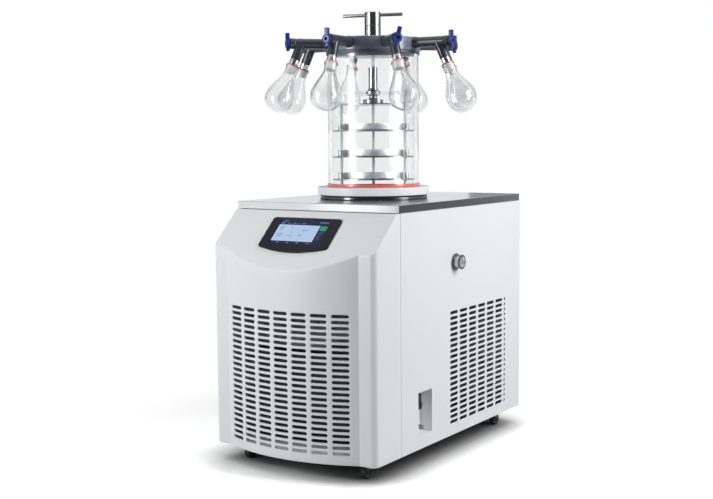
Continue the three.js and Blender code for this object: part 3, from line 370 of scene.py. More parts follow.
def finishOf(name):
    if name in finishMade:
        return finishMade[name]
    look = finishes[name]
    made = bpy.data.materials.new(name)
    made.use_nodes = True
    tree = made.node_tree
    shader = tree.nodes["Principled BSDF"]
    spot = addNode(tree, "TexCoord").outputs["Object"]
    feed(tree, shader, {"Base Color": look["colour"]} | look.get("sockets", {}))
    if "shade" in look:
        cloud = noiseOf(tree, spot, look["cloud"])
        feed(tree, shader, {"Base Color": blend(tree, cloud, look["colour"], look["shade"])})
    if "glow" in look:
        cloud = noiseOf(tree, spot, noiseLook["glowCloud"])
        glow = blend(tree, cloud, look["glow"], look["glowShade"])
        feed(tree, shader, {"Emission Color": glow, "Emission Strength": 1.0})
    low, high = look["rough"]
    speckle = noiseOf(tree, spot, look.get("cloud", noiseLook["cloud"]) * noiseLook["roughRatio"])
    spread = addNode(tree, "MapRange", {"To Min": low, "To Max": high, "Value": speckle})
    feed(tree, shader, {"Roughness": spread.outputs["Result"]})
    if "grain" in look:
        feed(tree, shader, {"Normal": grainOf(tree, spot, look)})
    if "letsLightIn" in look:
        letLightIn(tree, shader)
    finishMade[name] = made
    return made


# Shapes, drawn in millimetres


def rounded(points, closed=True):
    # Swaps each corner given as (a, b, radius) or (a, b, radius, steps) for a short arc.
    out = []
    for i, point in enumerate(points):
        here = Vector(point[:2])
        atEnd = not closed and i in (0, len(points) - 1)
        if len(point) < 3 or not point[2] or atEnd:
            out.append(tuple(here))
            continue
        before = Vector(points[i - 1][:2]) - here
        after = Vector(points[(i + 1) % len(points)][:2]) - here
        half = before.angle(after) / 2
        reach = min(point[2] / math.tan(half), before.length * 0.49, after.length * 0.49)
        before.normalize()
        after.normalize()
        radius = reach * math.tan(half)
        centre = here + (before + after).normalized() * (radius / math.sin(half))
        first = here + before * reach - centre
        last = here + after * reach - centre
        turn = math.atan2(first.x * last.y - first.y * last.x, first.dot(last))
        steps = point[3] if len(point) > 3 else 4
        for k in range(steps + 1):
            angle = math.atan2(first.y, first.x) + turn * k / steps
            out.append((centre.x + radius * math.cos(angle), centre.y + radius * math.sin(angle)))
    return out


def rectangle(x0, y0, x1, y1, corner=0):
    # Its corners from the low left one on, rounded where a radius is given.
    points = [(x0, y0), (x1, y0), (x1, y1), (x0, y1)]
    return rounded([(x, y, corner) for x, y in points]) if corner else points


def smoothed(points, steps=5):
    # A smooth line through the points, ends included.
    out = []
    for i in range(len(points) - 1):
        a, b, c, d = [Vector(points[min(max(j, 0), len(points) - 1)]) for j in (i - 1, i, i + 1, i + 2)]
        for k in range(steps):
            t = k / steps
            bend = (2 * a - 5 * b + 4 * c - d) * t * t + (3 * b - a - 3 * c + d) * t ** 3
            out.append(tuple(0.5 * (2 * b + (c - a) * t + bend)))
    out.append(tuple(points[-1]))
    return out


def shift(x=0.0, y=0.0, z=0.0):
    return Matrix.Translation((x, y, z))


def spin(degrees, axis):
    return Matrix.Rotation(math.radians(degrees), 4, axis)


def evaluated(thing):
    # A mesh of a curve, or of a piece with its modifiers applied.
    bpy.context.view_layer.update()
    return bpy.data.meshes.new_from_object(thing.evaluated_get(bpy.context.evaluated_depsgraph_get()))


class Shape:
    # Gathers the parts of one piece.
    def __init__(self):
        self.bm = bmesh.new()
        self.at = {}

    def add(self, points, faces, at=Matrix(), finish=0):
        corners = [self.bm.verts.new(at @ Vector(p)) for p in points]
        made = []
        for face in faces:
            made.append(self.bm.faces.new([corners[i] for i in face]))
            made[-1].material_index = finish
        return made

    def face(self, points, finish=0):
        # A face whose corners are shared with the faces beside it.
        corners = []
        for p in points:
            key = tuple(round(c, 3) for c in p)
            if key not in self.at:
                self.at[key] = self.bm.verts.new(p)
            if self.at[key] not in corners:
                corners.append(self.at[key])
        if len(corners) > 2:
            self.bm.faces.new(corners).material_index = finish

    def turned(self, profile, sides=96, closed=True, at=Matrix(), finish=0):
        points, rows, faces = [], [], []
        for r, z in profile:
            count = 1 if r < 1e-6 else sides
            rows.append([len(points) + k for k in range(count)])
            for k in range(count):
                angle = 2 * math.pi * k / sides
                points.append((r * math.cos(angle), r * math.sin(angle), z))
        pairs = list(zip(rows, rows[1:] + rows[:1]))
        for low, high in pairs if closed else pairs[:-1]:
            for k in range(sides):
                n = (k + 1) % sides
                quad = (low[k % len(low)], low[n % len(low)], high[n % len(high)], high[k % len(high)])
                quad = list(dict.fromkeys(quad))  # three corners where the profile meets the axis
                if len(quad) > 2:
                    faces.append(quad)
        return self.add(points, faces, at, finish)

    def rod(self, radius, low, high, edge=0.5, sides=32, at=Matrix(), finish=0):
        profile = rounded([(0, low), (radius, low, edge, 3), (radius, high, edge, 3), (0, high)],
                          closed=False)
        return self.turned(profile, sides, False, at, finish)

    def prism(self, outline, low, high, edge=0.4, at=Matrix(), finish=0, steps=2):
        count = len(outline)
        points = [(x, y, low) for x, y in outline] + [(x, y, high) for x, y in outline]
        faces = [list(range(count))[::-1], list(range(count, 2 * count))]
        faces += [[i, (i + 1) % count, count + (i + 1) % count, count + i] for i in range(count)]
        made = self.add(points, faces, at, finish)
        if edge:
            rims = list(dict.fromkeys(e for f in made[:2] for e in f.edges))
            bmesh.ops.bevel(self.bm, geom=rims, offset=edge, segments=steps, profile=0.5, affect="EDGES")

    def box(self, low, high, edge=0.4, at=Matrix(), finish=0, corner=0):
        self.prism(rectangle(*low[:2], *high[:2], corner), low[2], high[2], edge, at, finish)

    def plate(self, outline, holes, low, high, edge=0.3, at=Matrix(), finish=0):
        # A flat plate with holes through it and a small chamfer on every edge.
        curve = bpy.data.curves.new("plate", "CURVE")
        curve.dimensions, curve.fill_mode = "2D", "BOTH"
        curve.extrude, curve.bevel_depth, curve.offset = (high - low) / 2 - edge, edge, -edge
        curve.bevel_resolution = 0
        for ring in [outline] + holes:
            line = curve.splines.new("POLY")
            line.points.add(len(ring) - 1)
            line.use_cyclic_u = True
            for point, (x, y) in zip(line.points, ring):
                point.co = (x, y, 0, 1)
        holder = setUp("plate", curve)
        flat = evaluated(holder)
        points = [tuple(v.co) for v in flat.vertices]
        faces = [list(p.vertices) for p in flat.polygons]
        made = self.add(points, faces, at @ shift(z=(low + high) / 2), finish)
        corners = list(dict.fromkeys(v for f in made for v in f.verts))
        bmesh.ops.remove_doubles(self.bm, verts=corners, dist=1e-3)
        bpy.data.objects.remove(holder)
        bpy.data.meshes.remove(flat)

    def piece(self, name, body, slotName, looks, replaced=(), sharp=35, recalc=True):
        if recalc:
            bmesh.ops.recalc_face_normals(self.bm, faces=self.bm.faces[:])
        self.bm.transform(Matrix.Scale(mm, 4))
        mesh = bpy.data.meshes.new(name)
        self.bm.to_mesh(mesh)
        self.bm.free()
        mesh.shade_smooth()
        mesh.set_sharp_from_angle(angle=math.radians(sharp))
        for look in looks:
            mesh.materials.append(finishOf(look))
        made = setUp(name, mesh)
        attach(made, body)
        if replaced:
            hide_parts(*replaced)
        return made


def settle(piece, sharp=35):
    # Applies the piece's modifiers to its mesh.
    mesh = evaluated(piece)
    old = piece.data
    piece.modifiers.clear()
    piece.data = mesh
    mesh.name = old.name
    bpy.data.meshes.remove(old)
    mesh.shade_smooth()
    mesh.set_sharp_from_angle(angle=math.radians(sharp))


def dressNode(name, look):
    # Gives a carried-over part its finish.
    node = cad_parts[name]
    node.data.materials.clear()
    node.data.materials.append(finishOf(look))


# Front moulding

bezel = {"halfWidth": 251.5, "seamY": -259, "topZ": 664.6, "footZ": 48.5, "cornerRadius": 15,
         "columnY": -378, "bowEndX": 204.5, "bowEndY": -378, "bowFrontY": -425, "breakY": -277,
         "slope": 0.93, "wall": 4, "crease": 9, "creaseFade": 22, "creasePower": 0.7, "creaseSteps": 5,
         "creaseReach": 60, "leastCrease": 0.05, "stepRound": 1.6, "margin": 8, "rows": 8, "footRows": 3,
         "wallRows": 5, "softEdge": 0.45, "softAngle": 62, "sharpAngle": 40}
slots = {"length": 42.5, "height": 8.8, "across": 53.8, "up": 14.9, "columns": 7, "rows": 24,
         "lowest": 27.7, "acrossSteps": 10, "upSteps": 4, "bendSteps": 2}
bowRise = bezel["bowEndY"] - bezel["bowFrontY"]
bowRadius = (bezel["bowEndX"] ** 2 + bowRise ** 2) / (2 * bowRise)
slopeAngle = math.atan(bezel["slope"])
gridLeft = -slots["columns"] / 2 * slots["across"]
gridFoot = bezel["footZ"] + slots["lowest"] - slots["up"] / 2
gridTop = gridFoot + slots["rows"] * slots["up"]


def bowY(x):
    return bezel["bowFrontY"] + bowRadius - math.sqrt(bowRadius ** 2 - x ** 2)


def slopeZ(y):
    return bezel["topZ"] - max(bezel["breakY"] - y, 0) * bezel["slope"]


def frontStations():
    # Points along the plan's outline from the left seam round to the right one.
    half, step = bezel["halfWidth"], bezel["stepRound"]
    edge = -gridLeft + bezel["margin"]
    right = rounded([(edge, bowY(edge)), (bezel["bowEndX"], bezel["bowEndY"], step, 4),
                     (half, bezel["columnY"], bezel["cornerRadius"], 10),
                     (half, bezel["breakY"])], closed=False)[:-1]
    cornerY, rows = right[-1][1], bezel["rows"]
    right += [(half, cornerY + (bezel["breakY"] - cornerY) * (k + 1) / rows) for k in range(rows)]
    right.append((half, bezel["seamY"]))
    steps = slots["columns"] * slots["acrossSteps"]
    middle = [gridLeft + k * slots["across"] / slots["acrossSteps"] for k in range(steps + 1)]
    return [(-x, y) for x, y in reversed(right)] + [(x, bowY(x)) for x in middle] + right


def bothHalves(ring):
    return ring + [(-x, -z) for x, z in ring]


def cellRing():
    # The rectangle round a slot, from its low left corner on.
    w, h = slots["across"] / 2, slots["up"] / 2
    across, up = slots["acrossSteps"], slots["upSteps"]
    low = [(-w + 2 * w * k / across, -h) for k in range(across)]
    return bothHalves(low + [(w, -h + 2 * h * k / up) for k in range(up)])


def slotRing():
    # The slot's outline, in step with the rectangle round it.
    half, r = (slots["length"] - slots["height"]) / 2, slots["height"] / 2
    across, up, bend = slots["acrossSteps"], slots["upSteps"], slots["bendSteps"]
    eighth = math.pi / 8
    ring = []
    for k in range(across):
        if k < bend:
            angle = (k - 6) * eighth
            ring.append((-half + r * math.cos(angle), r * math.sin(angle)))
        elif k > across - bend:
            angle = (k - across - 2) * eighth
            ring.append((half + r * math.cos(angle), r * math.sin(angle)))
        else:
            ring.append((-half + 2 * half * (k - bend) / (across - 2 * bend), -r))
    for k in range(up):
        angle = (k - 2) * eighth
        ring.append((half + r * math.cos(angle), r * math.sin(angle)))
    return bothHalves(ring)


def creaseArc(x, y, sloped):
    # The bend between the wall and the console at one point of the plan. It runs out to nothing at the sides.
    z, steps, reach = slopeZ(y), bezel["creaseSteps"], bezel["creaseReach"]
    share = min(max((bezel["halfWidth"] - abs(x)) / bezel["creaseFade"], 0), 1)
    radius = bezel["crease"] * share ** bezel["creasePower"] if sloped else 0
    if radius < bezel["leastCrease"]:
        return [(y, z)] * (steps + 1)
    far = (y + reach * math.cos(slopeAngle), z + reach * math.sin(slopeAngle))
    return rounded([(y, z - reach), (y, z, radius, steps), far], closed=False)[1:-1]


def wallLine(x, y, levels, top):
    steps = bezel["wallRows"]
    line = [(x, y, z) for z in levels]
    return line + [(x, y, gridTop + (top - gridTop) * k / steps) for k in range(1, steps + 1)]


def consoleLine(x, arc):
    (a, b), rows = arc[-1], bezel["rows"]
    line = [(x, y, z) for y, z in arc]
    for k in range(1, rows + 1):
        line.append((x, a + (bezel["breakY"] - a) * k / rows, b + (bezel["topZ"] - b) * k / rows))
    return line + [(x, bezel["seamY"], bezel["topZ"])]


def joinLines(shape, first, second, skipped=()):
    for j in range(len(first) - 1):
        if j not in skipped:
            shape.face([first[j], second[j], second[j + 1], first[j + 1]])


def addFront(shape):
    # The wall and the console, with the grid of slots left out.
    stations, footRows = frontStations(), bezel["footRows"]
    cells = slots["rows"] * slots["upSteps"]
    levels = [bezel["footZ"] + (gridFoot - bezel["footZ"]) * k / footRows for k in range(footRows)]
    levels += [gridFoot + k * slots["up"] / slots["upSteps"] for k in range(cells + 1)]
    cornerEnd = bezel["columnY"] + bezel["cornerRadius"] + hair
    walls, consoles = [], []
    for x, y in stations:
        sloped = abs(x) < bezel["halfWidth"] or y <= cornerEnd
        arc = creaseArc(x, y, sloped)
        walls.append(wallLine(x, y, levels, arc[0][1]))
        consoles.append(consoleLine(x, arc) if sloped else [])
    firstCell = next(i for i, point in enumerate(stations) if abs(point[0] - gridLeft) < hair)
    gridColumns = range(firstCell, firstCell + slots["columns"] * slots["acrossSteps"])
    for i in range(len(stations) - 1):
        skipped = range(footRows, footRows + cells) if i in gridColumns else ()
        joinLines(shape, walls[i], walls[i + 1], skipped)
        if consoles[i] and consoles[i + 1]:
            joinLines(shape, consoles[i], consoles[i + 1])


def addSlots(shape):
    for column in range(slots["columns"]):
        for row in range(slots["rows"]):
            x = gridLeft + (column + 0.5) * slots["across"]
            z = gridFoot + (row + 0.5) * slots["up"]
            outer, inner = ([(x + a, bowY(x + a), z + b) for a, b in ring] for ring in (cellRing(),
                                                                                        slotRing()))
            joinLines(shape, inner + inner[:1], outer + outer[:1])


def buildBezel():
    shape = Shape()
    addFront(shape)
    addSlots(shape)
    skin = shape.piece("bezel_skin", "cabinet", "moulding_white", ["moulding"], ["front_bezel"],
                       recalc=False)
    thick = skin.modifiers.new("wall", "SOLIDIFY")
    thick.thickness = bezel["wall"] * mm
    thick.offset = -1
    soft = skin.modifiers.new("edges", "BEVEL")
    soft.limit_method = "ANGLE"
    soft.angle_limit = math.radians(bezel["softAngle"])
    soft.width = bezel["softEdge"] * mm
    soft.segments = 2
    settle(skin, bezel["sharpAngle"])


buildBezel()
print("bezel: front moulding with", slots["columns"] * slots["rows"], "slots")




# Cabinet panels

cabinet = {"sideX": 251.5, "frontY": -257.3, "backY": 422.0, "rearY": 424.3, "footZ": 48.5, "topZ": 665.2,
           "sheet": 2, "edge": 0.35, "lip": 14, "lipEdge": 0.2, "lipShort": 1}
sideGrille = {"firstY": 18.7, "columns": 6, "rows": 21, "lowest": 36.6, "stub": 9}
niche = {"y": (-172.4, -102.9), "z": (84.5, 197.5), "corner": 2.5}
port = {"y": 26.4, "z": 519.5, "bore": 12.5, "pipe": 15, "ring": 22.5, "ringThick": 4, "flange": 20,
        "flangeThick": 4.5, "reach": 21, "inside": 40, "clear": 0.5}
inlet = {"x": -150, "z": 118.5, "width": 50, "height": 62, "rim": 3.7}
worktop = {"halfWidth": 253.5, "frontY": -272, "backY": 415.5, "lowZ": 666, "topZ": 685.5, "hole": 96.5,
           "corner": 5, "backCorner": 1.5, "edge": 0.9}
# A flat plan is laid in Y and Z, and thick along X, or in X and Z.
sideways = Matrix(((0, 0, 1, 0), (1, 0, 0, 0), (0, 1, 0, 0), (0, 0, 0, 1)))
upright = Matrix(((1, 0, 0, 0), (0, 0, -1, 0), (0, 1, 0, 0), (0, 0, 0, 1)))


def stadium(x, y, length, height, steps=8):
    half, r = (length - height) / 2, height / 2
    ring = []
    for side in (0, math.pi):
        for k in range(steps + 1):
            angle = side - math.pi / 2 + math.pi * k / steps
            middle = half if side == 0 else -half
            ring.append((x + middle + r * math.cos(angle), y + r * math.sin(angle)))
    return ring


def circle(x, y, radius, steps=48):
    angles = [2 * math.pi * k / steps for k in range(steps)]
    return [(x + radius * math.cos(angle), y + radius * math.sin(angle)) for angle in angles]


def buildSide(name, side, holes, replaced):
    c = cabinet
    out, sheet = c["sideX"], c["sheet"]
    low, high = (out - sheet, out) if side > 0 else (-out, -out + sheet)
    shape = Shape()
    outline = rectangle(c["frontY"], c["footZ"], c["backY"], c["topZ"])
    shape.plate(outline, holes, low, high, c["edge"], sideways)
    x0, x1 = sorted((side * (out - sheet - hair), side * (out - c["lip"])))
    for y0, y1 in ((c["frontY"], c["frontY"] + sheet), (c["backY"] - sheet, c["backY"])):
        shape.box((x0, y0, c["footZ"] + c["lipShort"]), (x1, y1, c["topZ"] - c["lipShort"]), c["lipEdge"])
    shape.piece(name, "cabinet", "panel_white", ["panel"], [replaced])


def sideHoles():
    holes = []
    length, height, pitch = slots["length"], slots["height"], slots["across"]
    lastY = sideGrille["firstY"] + sideGrille["columns"] * pitch
    for row in range(sideGrille["rows"]):
        z = cabinet["footZ"] + sideGrille["lowest"] + row * slots["up"]
        for column in range(sideGrille["columns"]):
            holes.append(stadium(sideGrille["firstY"] + column * pitch, z, length, height))
        holes.append(stadium(lastY - (length - sideGrille["stub"]) / 2, z, sideGrille["stub"], height))
    (y0, y1), (z0, z1) = niche["y"], niche["z"]
    holes.append(rectangle(y0, z0, y1, z1, niche["corner"]))
    holes.append(circle(port["y"], port["z"], port["pipe"] + port["clear"]))
    return holes


def buildPanels():
    buildSide("right_side_skin", 1, sideHoles(), "right_side_panel")
    buildSide("left_side_skin", -1, [], "left_side_panel")
    out, y = cabinet["sideX"], -cabinet["rearY"]
    w, h = inlet["width"] / 2 - inlet["rim"], inlet["height"] / 2 - inlet["rim"]
    hole = rectangle(inlet["x"] - w, inlet["z"] - h, inlet["x"] + w, inlet["z"] + h)
    rear = Shape()
    outline = rectangle(-out, cabinet["footZ"], out, cabinet["topZ"])
    rear.plate(outline, [hole], y, y + cabinet["sheet"], cabinet["edge"], upright)
    rear.piece("rear_skin", "cabinet", "panel_white", ["panel"], ["rear_panel"])


def buildWorktop():
    half, r, back = worktop["halfWidth"], worktop["corner"], worktop["backCorner"]
    outline = rounded([(-half, worktop["frontY"], r, 5), (half, worktop["frontY"], r, 5),
                       (half, worktop["backY"], back), (-half, worktop["backY"], back)])
    hole = circle(0, chamberY, worktop["hole"], 64)
    shape = Shape()
    shape.plate(outline, [hole], worktop["lowZ"], worktop["topZ"], worktop["edge"])
    bmesh.ops.recalc_face_normals(shape.bm, faces=shape.bm.faces[:])
    # The top has its own finish; the light front edge and the darker other edges are painted reflection, lit
    # and shaded copies of the slab's finish.
    for face in shape.bm.faces:
        inFront = face.calc_center_median().y < worktop["frontY"] + r * 0.6 and face.normal.y < -0.3
        face.material_index = 0 if face.normal.z > 0.5 else 1 if inFront else 2
    looks = ["worktop_top", "worktop_front_painted_light", "worktop_side_painted_dark"]
    shape.piece("worktop_slab", "cabinet", "worktop_paint", looks, ["worktop"])


buildPanels()
buildWorktop()
print("cabinet: side, rear and worktop sheets")


# Touch panel: drawn flat, with its top edge at y 0, then laid on the slope

screen = {"width": 214, "top": 27, "side": 101, "bow": 17, "bowSteps": 24, "corner": 9, "thick": 4,
          "edge": 0.6, "displayWidth": 154, "displayLength": 84, "displayInset": 7, "displayThick": 2.5,
          "displayEdge": 0.3, "windowCorner": 1, "sunk": 0.1}
# The menu's blocks by finish: how far they stand out, and their places as shares of the display from its top
# left corner, as x0, y0, x1, y1
menu = {
    "screen_navy": (0.06, [(0, 0, 1, 0.21), (0.835, 0.21, 1, 0.875), (0, 0.875, 1, 1)]),
    "screen_field": (0.06, [(0, 0.21, 0.835, 0.875)]),
    "screen_green": (0.12, [(0.86, 0.23, 0.985, 0.41)]),
    "screen_mark": (0.16, [
        (0.06, 0.03, 0.14, 0.08), (0.02, 0.1, 0.09, 0.19), (0.15, 0.13, 0.22, 0.17),
        (0.26, 0.13, 0.33, 0.17), (0.37, 0.13, 0.4, 0.17), (0.44, 0.13, 0.53, 0.17),
        (0.79, 0.06, 0.97, 0.11), (0.13, 0.91, 0.18, 0.96), (0.33, 0.91, 0.38, 0.96),
        (0.53, 0.91, 0.58, 0.96), (0.73, 0.91, 0.78, 0.96), (0.86, 0.46, 0.97, 0.47),
        (0.87, 0.52, 0.95, 0.54), (0.86, 0.6, 0.96, 0.61), (0.88, 0.66, 0.93, 0.7),
        (0.86, 0.76, 0.96, 0.77)]),
    "screen_ink": (0.16, [
        (0.05, 0.3, 0.15, 0.32), (0.05, 0.37, 0.12, 0.39), (0.05, 0.58, 0.17, 0.6), (0.05, 0.66, 0.15,
                                                                                     0.68),
        (0.28, 0.32, 0.31, 0.35), (0.32, 0.5, 0.34, 0.53), (0.5, 0.6, 0.525, 0.66), (0.55, 0.61, 0.565,
                                                                                     0.65),
        (0.52, 0.42, 0.64, 0.44), (0.27, 0.64, 0.38, 0.655)]),
}


def screenPlace():
    onSlope = Matrix.Translation((0, bezel["breakY"], bezel["topZ"])) @ Matrix.Rotation(slopeAngle, 4, "X")
    return onSlope @ shift(0, -screen["top"], gap)


def screenOutline():
    half, low, r, steps = screen["width"] / 2, -screen["side"], screen["corner"], screen["bowSteps"]
    bow = []
    for k in range(1, steps):
        sag = 1 - (1 - 2 * k / steps) ** 2
        bow.append((-half + 2 * half * k / steps, low - screen["bow"] * sag))
    lowCorners = [(x, low, r * 0.8, 5) for x in (-half, half)]
    return rounded([lowCorners[0]] + bow + [lowCorners[1], (half, 0, r, 6), (-half, 0, r, 6)])


def buildScreen():
    at = screenPlace()
    half = screen["displayWidth"] / 2
    top, low = -screen["displayInset"], -screen["displayInset"] - screen["displayLength"]
    window = rectangle(-half - gap, low - gap, half + gap, top + gap, screen["windowCorner"])
    rim = Shape()
    rim.plate(screenOutline(), [window], 0, screen["thick"], screen["edge"], at)
    rim.piece("screen_rim", "cabinet", "black_gloss", ["screen_black"], ["screen_frame"])
    looks = ["screen_black"] + sorted(menu)
    face = Shape()
    level = screen["displayThick"]
    face.box((-half, low, 0), (half, top, level), screen["displayEdge"], at)
    for look, (rise, blocks) in menu.items():
        for x0, y0, x1, y1 in blocks:
            lowEnd = (-half + 2 * half * x0, top - screen["displayLength"] * y1, level - screen["sunk"])
            highEnd = (-half + 2 * half * x1, top - screen["displayLength"] * y0, level + rise)
            face.box(lowEnd, highEnd, 0, at, looks.index(look))
    face.piece("display_face", "cabinet", "screen", looks, ["display"])


buildScreen()
print("screen: rim and display")


# Drain niche, pump port and power inlet

drain = {"y": -137.65, "wallX": 219.0, "wide": 18, "tall": 74, "deep": 10, "rise": 8, "edge": 0.8,
         "corner": 2, "spout": 6, "spoutBore": 3.3, "spoutLength": 15, "spoutRise": 16, "pivotRise": 72,
         "hub": 10.5, "hubProud": 0.8, "bolt": 3.2, "boltProud": 2, "reach": 32.5, "width": 15, "thick": 7,
         "tip": 3}


def buildDrain():
    d = drain
    face = d["wallX"] + d["deep"]
    at = shift(z=niche["z"][0]) @ shift(y=d["y"]) @ sideways  # across the niche, up, and out of it
    valve = Shape()
    valve.box((-d["wide"] / 2, d["rise"], d["wallX"]), (d["wide"] / 2, d["rise"] + d["tall"], face),
              d["edge"], at, 0, d["corner"])
    bore, r, end = d["spoutBore"], d["spout"], face + d["spoutLength"]
    spout = rounded([(bore, face - 4), (r, face - 4), (r, face + 6, 0.6), (r + 1, face + 8, 0.6),
                     (r, end, 0.8), (bore, end, 0.5)])
    valve.turned(spout, 32, True, at @ shift(0, d["spoutRise"], 0), 1)
    valve.piece("drain_valve_body", "cabinet", "valve_white", ["valve_white", "zinc"], ["drain_valve"])
    at = at @ shift(0, d["pivotRise"], face + gap)
    half, tipHalf, thick = d["width"] / 2, d["width"] / 2 * 0.8, d["thick"]
    arm = rounded([(-half, 0), (-tipHalf, d["reach"], d["tip"]), (tipHalf, d["reach"], d["tip"]),
                   (half, 0)], False)
    lever = Shape()
    lever.prism(arm, 0, thick, d["edge"], at)
    lever.rod(d["hub"], 0, thick + d["hubProud"], d["edge"], 40, at)
    lever.rod(d["bolt"], thick, thick + d["boltProud"], 0.4, 6, at)
    lever.piece("drain_lever_arm", "drain_lever", "black_plastic", ["lever_black"], ["drain_lever"])


def buildPort():
    p = port
    bore, pipe, flange, reach = p["bore"], p["pipe"], p["flange"], p["reach"]
    ring, ringEnd = p["ring"], gap + p["ringThick"]
    neck = reach - p["flangeThick"]
    profile = rounded([(bore, -p["inside"]), (pipe, -p["inside"]), (pipe, gap), (ring, gap, 0.3),
                       (ring, ringEnd, 1.2), (pipe + 0.6, ringEnd, 0.6), (pipe, neck, 0.8),
                       (flange, neck + 1.5, 0.5), (flange, reach, 0.8), (bore + 1, reach, 0.4),
                       (bore, reach - 2, 0.4)])
    shape = Shape()
    shape.turned(profile, 64, True, shift(cabinet["sideX"], p["y"], p["z"]) @ spin(90, "Y"))
    # The ring and flange, the bore, and the pipe between them have a finish each; the bore's near-white is
    # painted light, standing in for the lamp light inside it.
    for face in shape.bm.faces:
        out = (face.calc_center_median().yz - Vector((p["y"], p["z"]))).length
        face.material_index = 1 if out > pipe + 0.7 else 2 if out < bore + 0.3 else 0
    looks = ["sleeve_steel", "port_grey", "niche_grey"]
    shape.piece("pump_port", "cabinet", "stainless", looks, ["vacuum_port"])


buildDrain()
buildPort()
carried = {"drain_box": "niche_grey", "base_pan": "zinc", "radiator": "fins", "fan_shroud": "zinc",
           "fan_blades": "black_plastic", "compressor": "enamel", "power_inlet": "black_plastic",
           "power_switch": "rocker_red"}
for nodeName, look in carried.items():
    dressNode(nodeName, look)
print("fittings: drain, port and the machinery's finishes")


# Castors

castor = {"spots": {"front_left": (-185, -330), "front_right": (185, -330), "rear_left": (-205, 340),
                    "rear_right": (205, 340)}, "wheel": 18, "width": 15, "axle": 3, "trail": 12,
          "top": 45.2, "plate": 3, "plateRadius": 16, "cheek": 2.5, "clear": 0.5, "nut": 5, "crown": 12,
          "rimWidth": 6, "web": 3}


def castorProfiles():
    # The tyre and the hub, turned round the axle.
    half, r, bore = castor["width"] / 2, castor["wheel"], castor["axle"] + castor["clear"]
    rim = r - castor["rimWidth"]
    tyre = rounded([(rim, -half + 1), (r - 1, -half, 1), (r, 0, castor["crown"], 3), (r - 1, half, 1),
                    (rim, half - 1)])
    web, boss = half - castor["web"], bore + 3
    near = [(boss, -half, 0.5), (boss + 1, -web, 1), (rim - 1, -web, 1), (rim - 0.2, -half + 0.8, 0.4)]
    edge = (rim + 0.2, -half + 0.8)
    far = [(r0, -z, *bend) for r0, z, *bend in reversed(near)]
    hub = rounded([(bore, -half)] + near + [edge, (edge[0], -edge[1])] + far + [(bore, half)])
    return tyre, hub


def buildCastors():
    tyre, hub = castorProfiles()
    c = castor
    r, trail, top, cheek = c["wheel"], c["trail"], c["top"], c["cheek"]
    side = rounded([(-11, top - 1), (trail - 6, r - 5, 4), (trail + 6, r - 5, 4), (14, top - 1)])
    inside = c["width"] / 2 + c["clear"]
    for name, (x, y) in c["spots"].items():
        wheelAt = shift(x, y + trail, r) @ spin(90, "Y")
        wheel = Shape()
        wheel.turned(tyre, 48, True, wheelAt, 0)
        wheel.turned(hub, 48, True, wheelAt, 1)
        looks = ["tread", "black_plastic"]
        wheel.piece(f"castor_tyre_{name}", f"wheel_{name}", "castor_tread", looks, [f"castor_wheel_{name}"])
        fork = Shape()
        fork.rod(c["plateRadius"], top - c["plate"], top, 0.8, 40, shift(x, y))
        for low in (-inside - cheek, inside):
            fork.prism(side, low, low + cheek, 0.5, shift(x, y) @ sideways)
        fork.rod(c["axle"], -inside - 1, inside + 1, 0.3, 20, wheelAt)
        fork.rod(c["nut"], inside + 1.5, inside + cheek, 0.3, 6, wheelAt)
        fork.rod(c["nut"], -inside - cheek, -inside - 1.5, 0.3, 6, wheelAt)
        # The zinc forks take the near-black finish, partly painted shade from under the cabinet.
        fork.piece(f"castor_bracket_{name}", f"fork_{name}", "zinc", ["castor_black"],
                   [f"castor_fork_{name}"])


buildCastors()
print("castors: four")


# Chamber, from the seat ring up

chamber = {"seat": (685.8, 697.3, 110.5, 148.5), "flange": (697.6, 719.1, 88, 155),
           "seal": (719.4, 116, 128.3), "sealWeb": 3, "sealLip": 8.5, "tube": (722.7, 1082.7, 115, 125),
           "coverSeal": 1086.0, "cover": (1086.3, 1121.8, 130, 16)}
trap = {"radius": 96, "depth": 250, "wall": 2, "lip": 110, "lipHigh": 3, "coils": 3, "coilRadius": 100,
        "coilPipe": 5, "coilDrop": 70, "coilPitch": 60, "coilSides": 12}
onAxis = shift(0, chamberY, 0)


def turnedPiece(name, body, slotName, look, replaced, profile, sides, closed=True):
    # One piece turned round the chamber's axis.
    shape = Shape()
    shape.turned(profile, sides, closed, onAxis)
    shape.piece(name, body, slotName, [look], [replaced])


def sealProfile():
    low, bore, rim = chamber["seal"]
    web, lip, tubeOut = low + chamber["sealWeb"], low + chamber["sealLip"], chamber["tube"][3] + gap
    return rounded([(bore, low, 0.4), (rim, low, 0.8), (rim, lip, 1.2), (tubeOut, lip, 0.5), (tubeOut, web),
                    (bore, web, 0.4)])


def buildChamber():
    low, high, bore, rim = chamber["seat"]
    seat = rounded([(bore, low), (rim - 1, low, 0.5), (rim, low + 1.5, 1), (rim, high - 4, 3, 6),
                    (rim - 3.5, high, 3, 6), (bore, high)])
    turnedPiece("seat_ring_gloss", "cabinet", "black_gloss", "black_gloss", "seat_ring", seat, 128)
    low, high, bore, rim = chamber["flange"]
    flange = rounded([(bore, low, 1), (rim, low, 1.2), (rim, high, 2.5, 6), (bore, high, 1.5)])
    turnedPiece("base_flange_ring", "cabinet", "polished_steel", "flange_white", "base_flange", flange, 128)
    seal = sealProfile()
    turnedPiece("base_seal_ring", "cabinet", "red_silicone", "red_silicone", "base_seal", seal, 128)
    overturned = [(r, chamber["coverSeal"] + chamber["seal"][0] - z) for r, z in seal]
    turnedPiece("cover_seal_ring", "cabinet", "grey_silicone", "grey_silicone", "cover_seal", overturned,
                128)
    low, high, bore, rim = chamber["tube"]
    tube = rounded([(bore, low, 0.6), (rim, low, 0.6), (rim, high, 0.6), (bore, high, 0.6)])
    turnedPiece("clear_chamber", "cabinet", "clear_tube", "clear_tube", "chamber_tube", tube, 160)


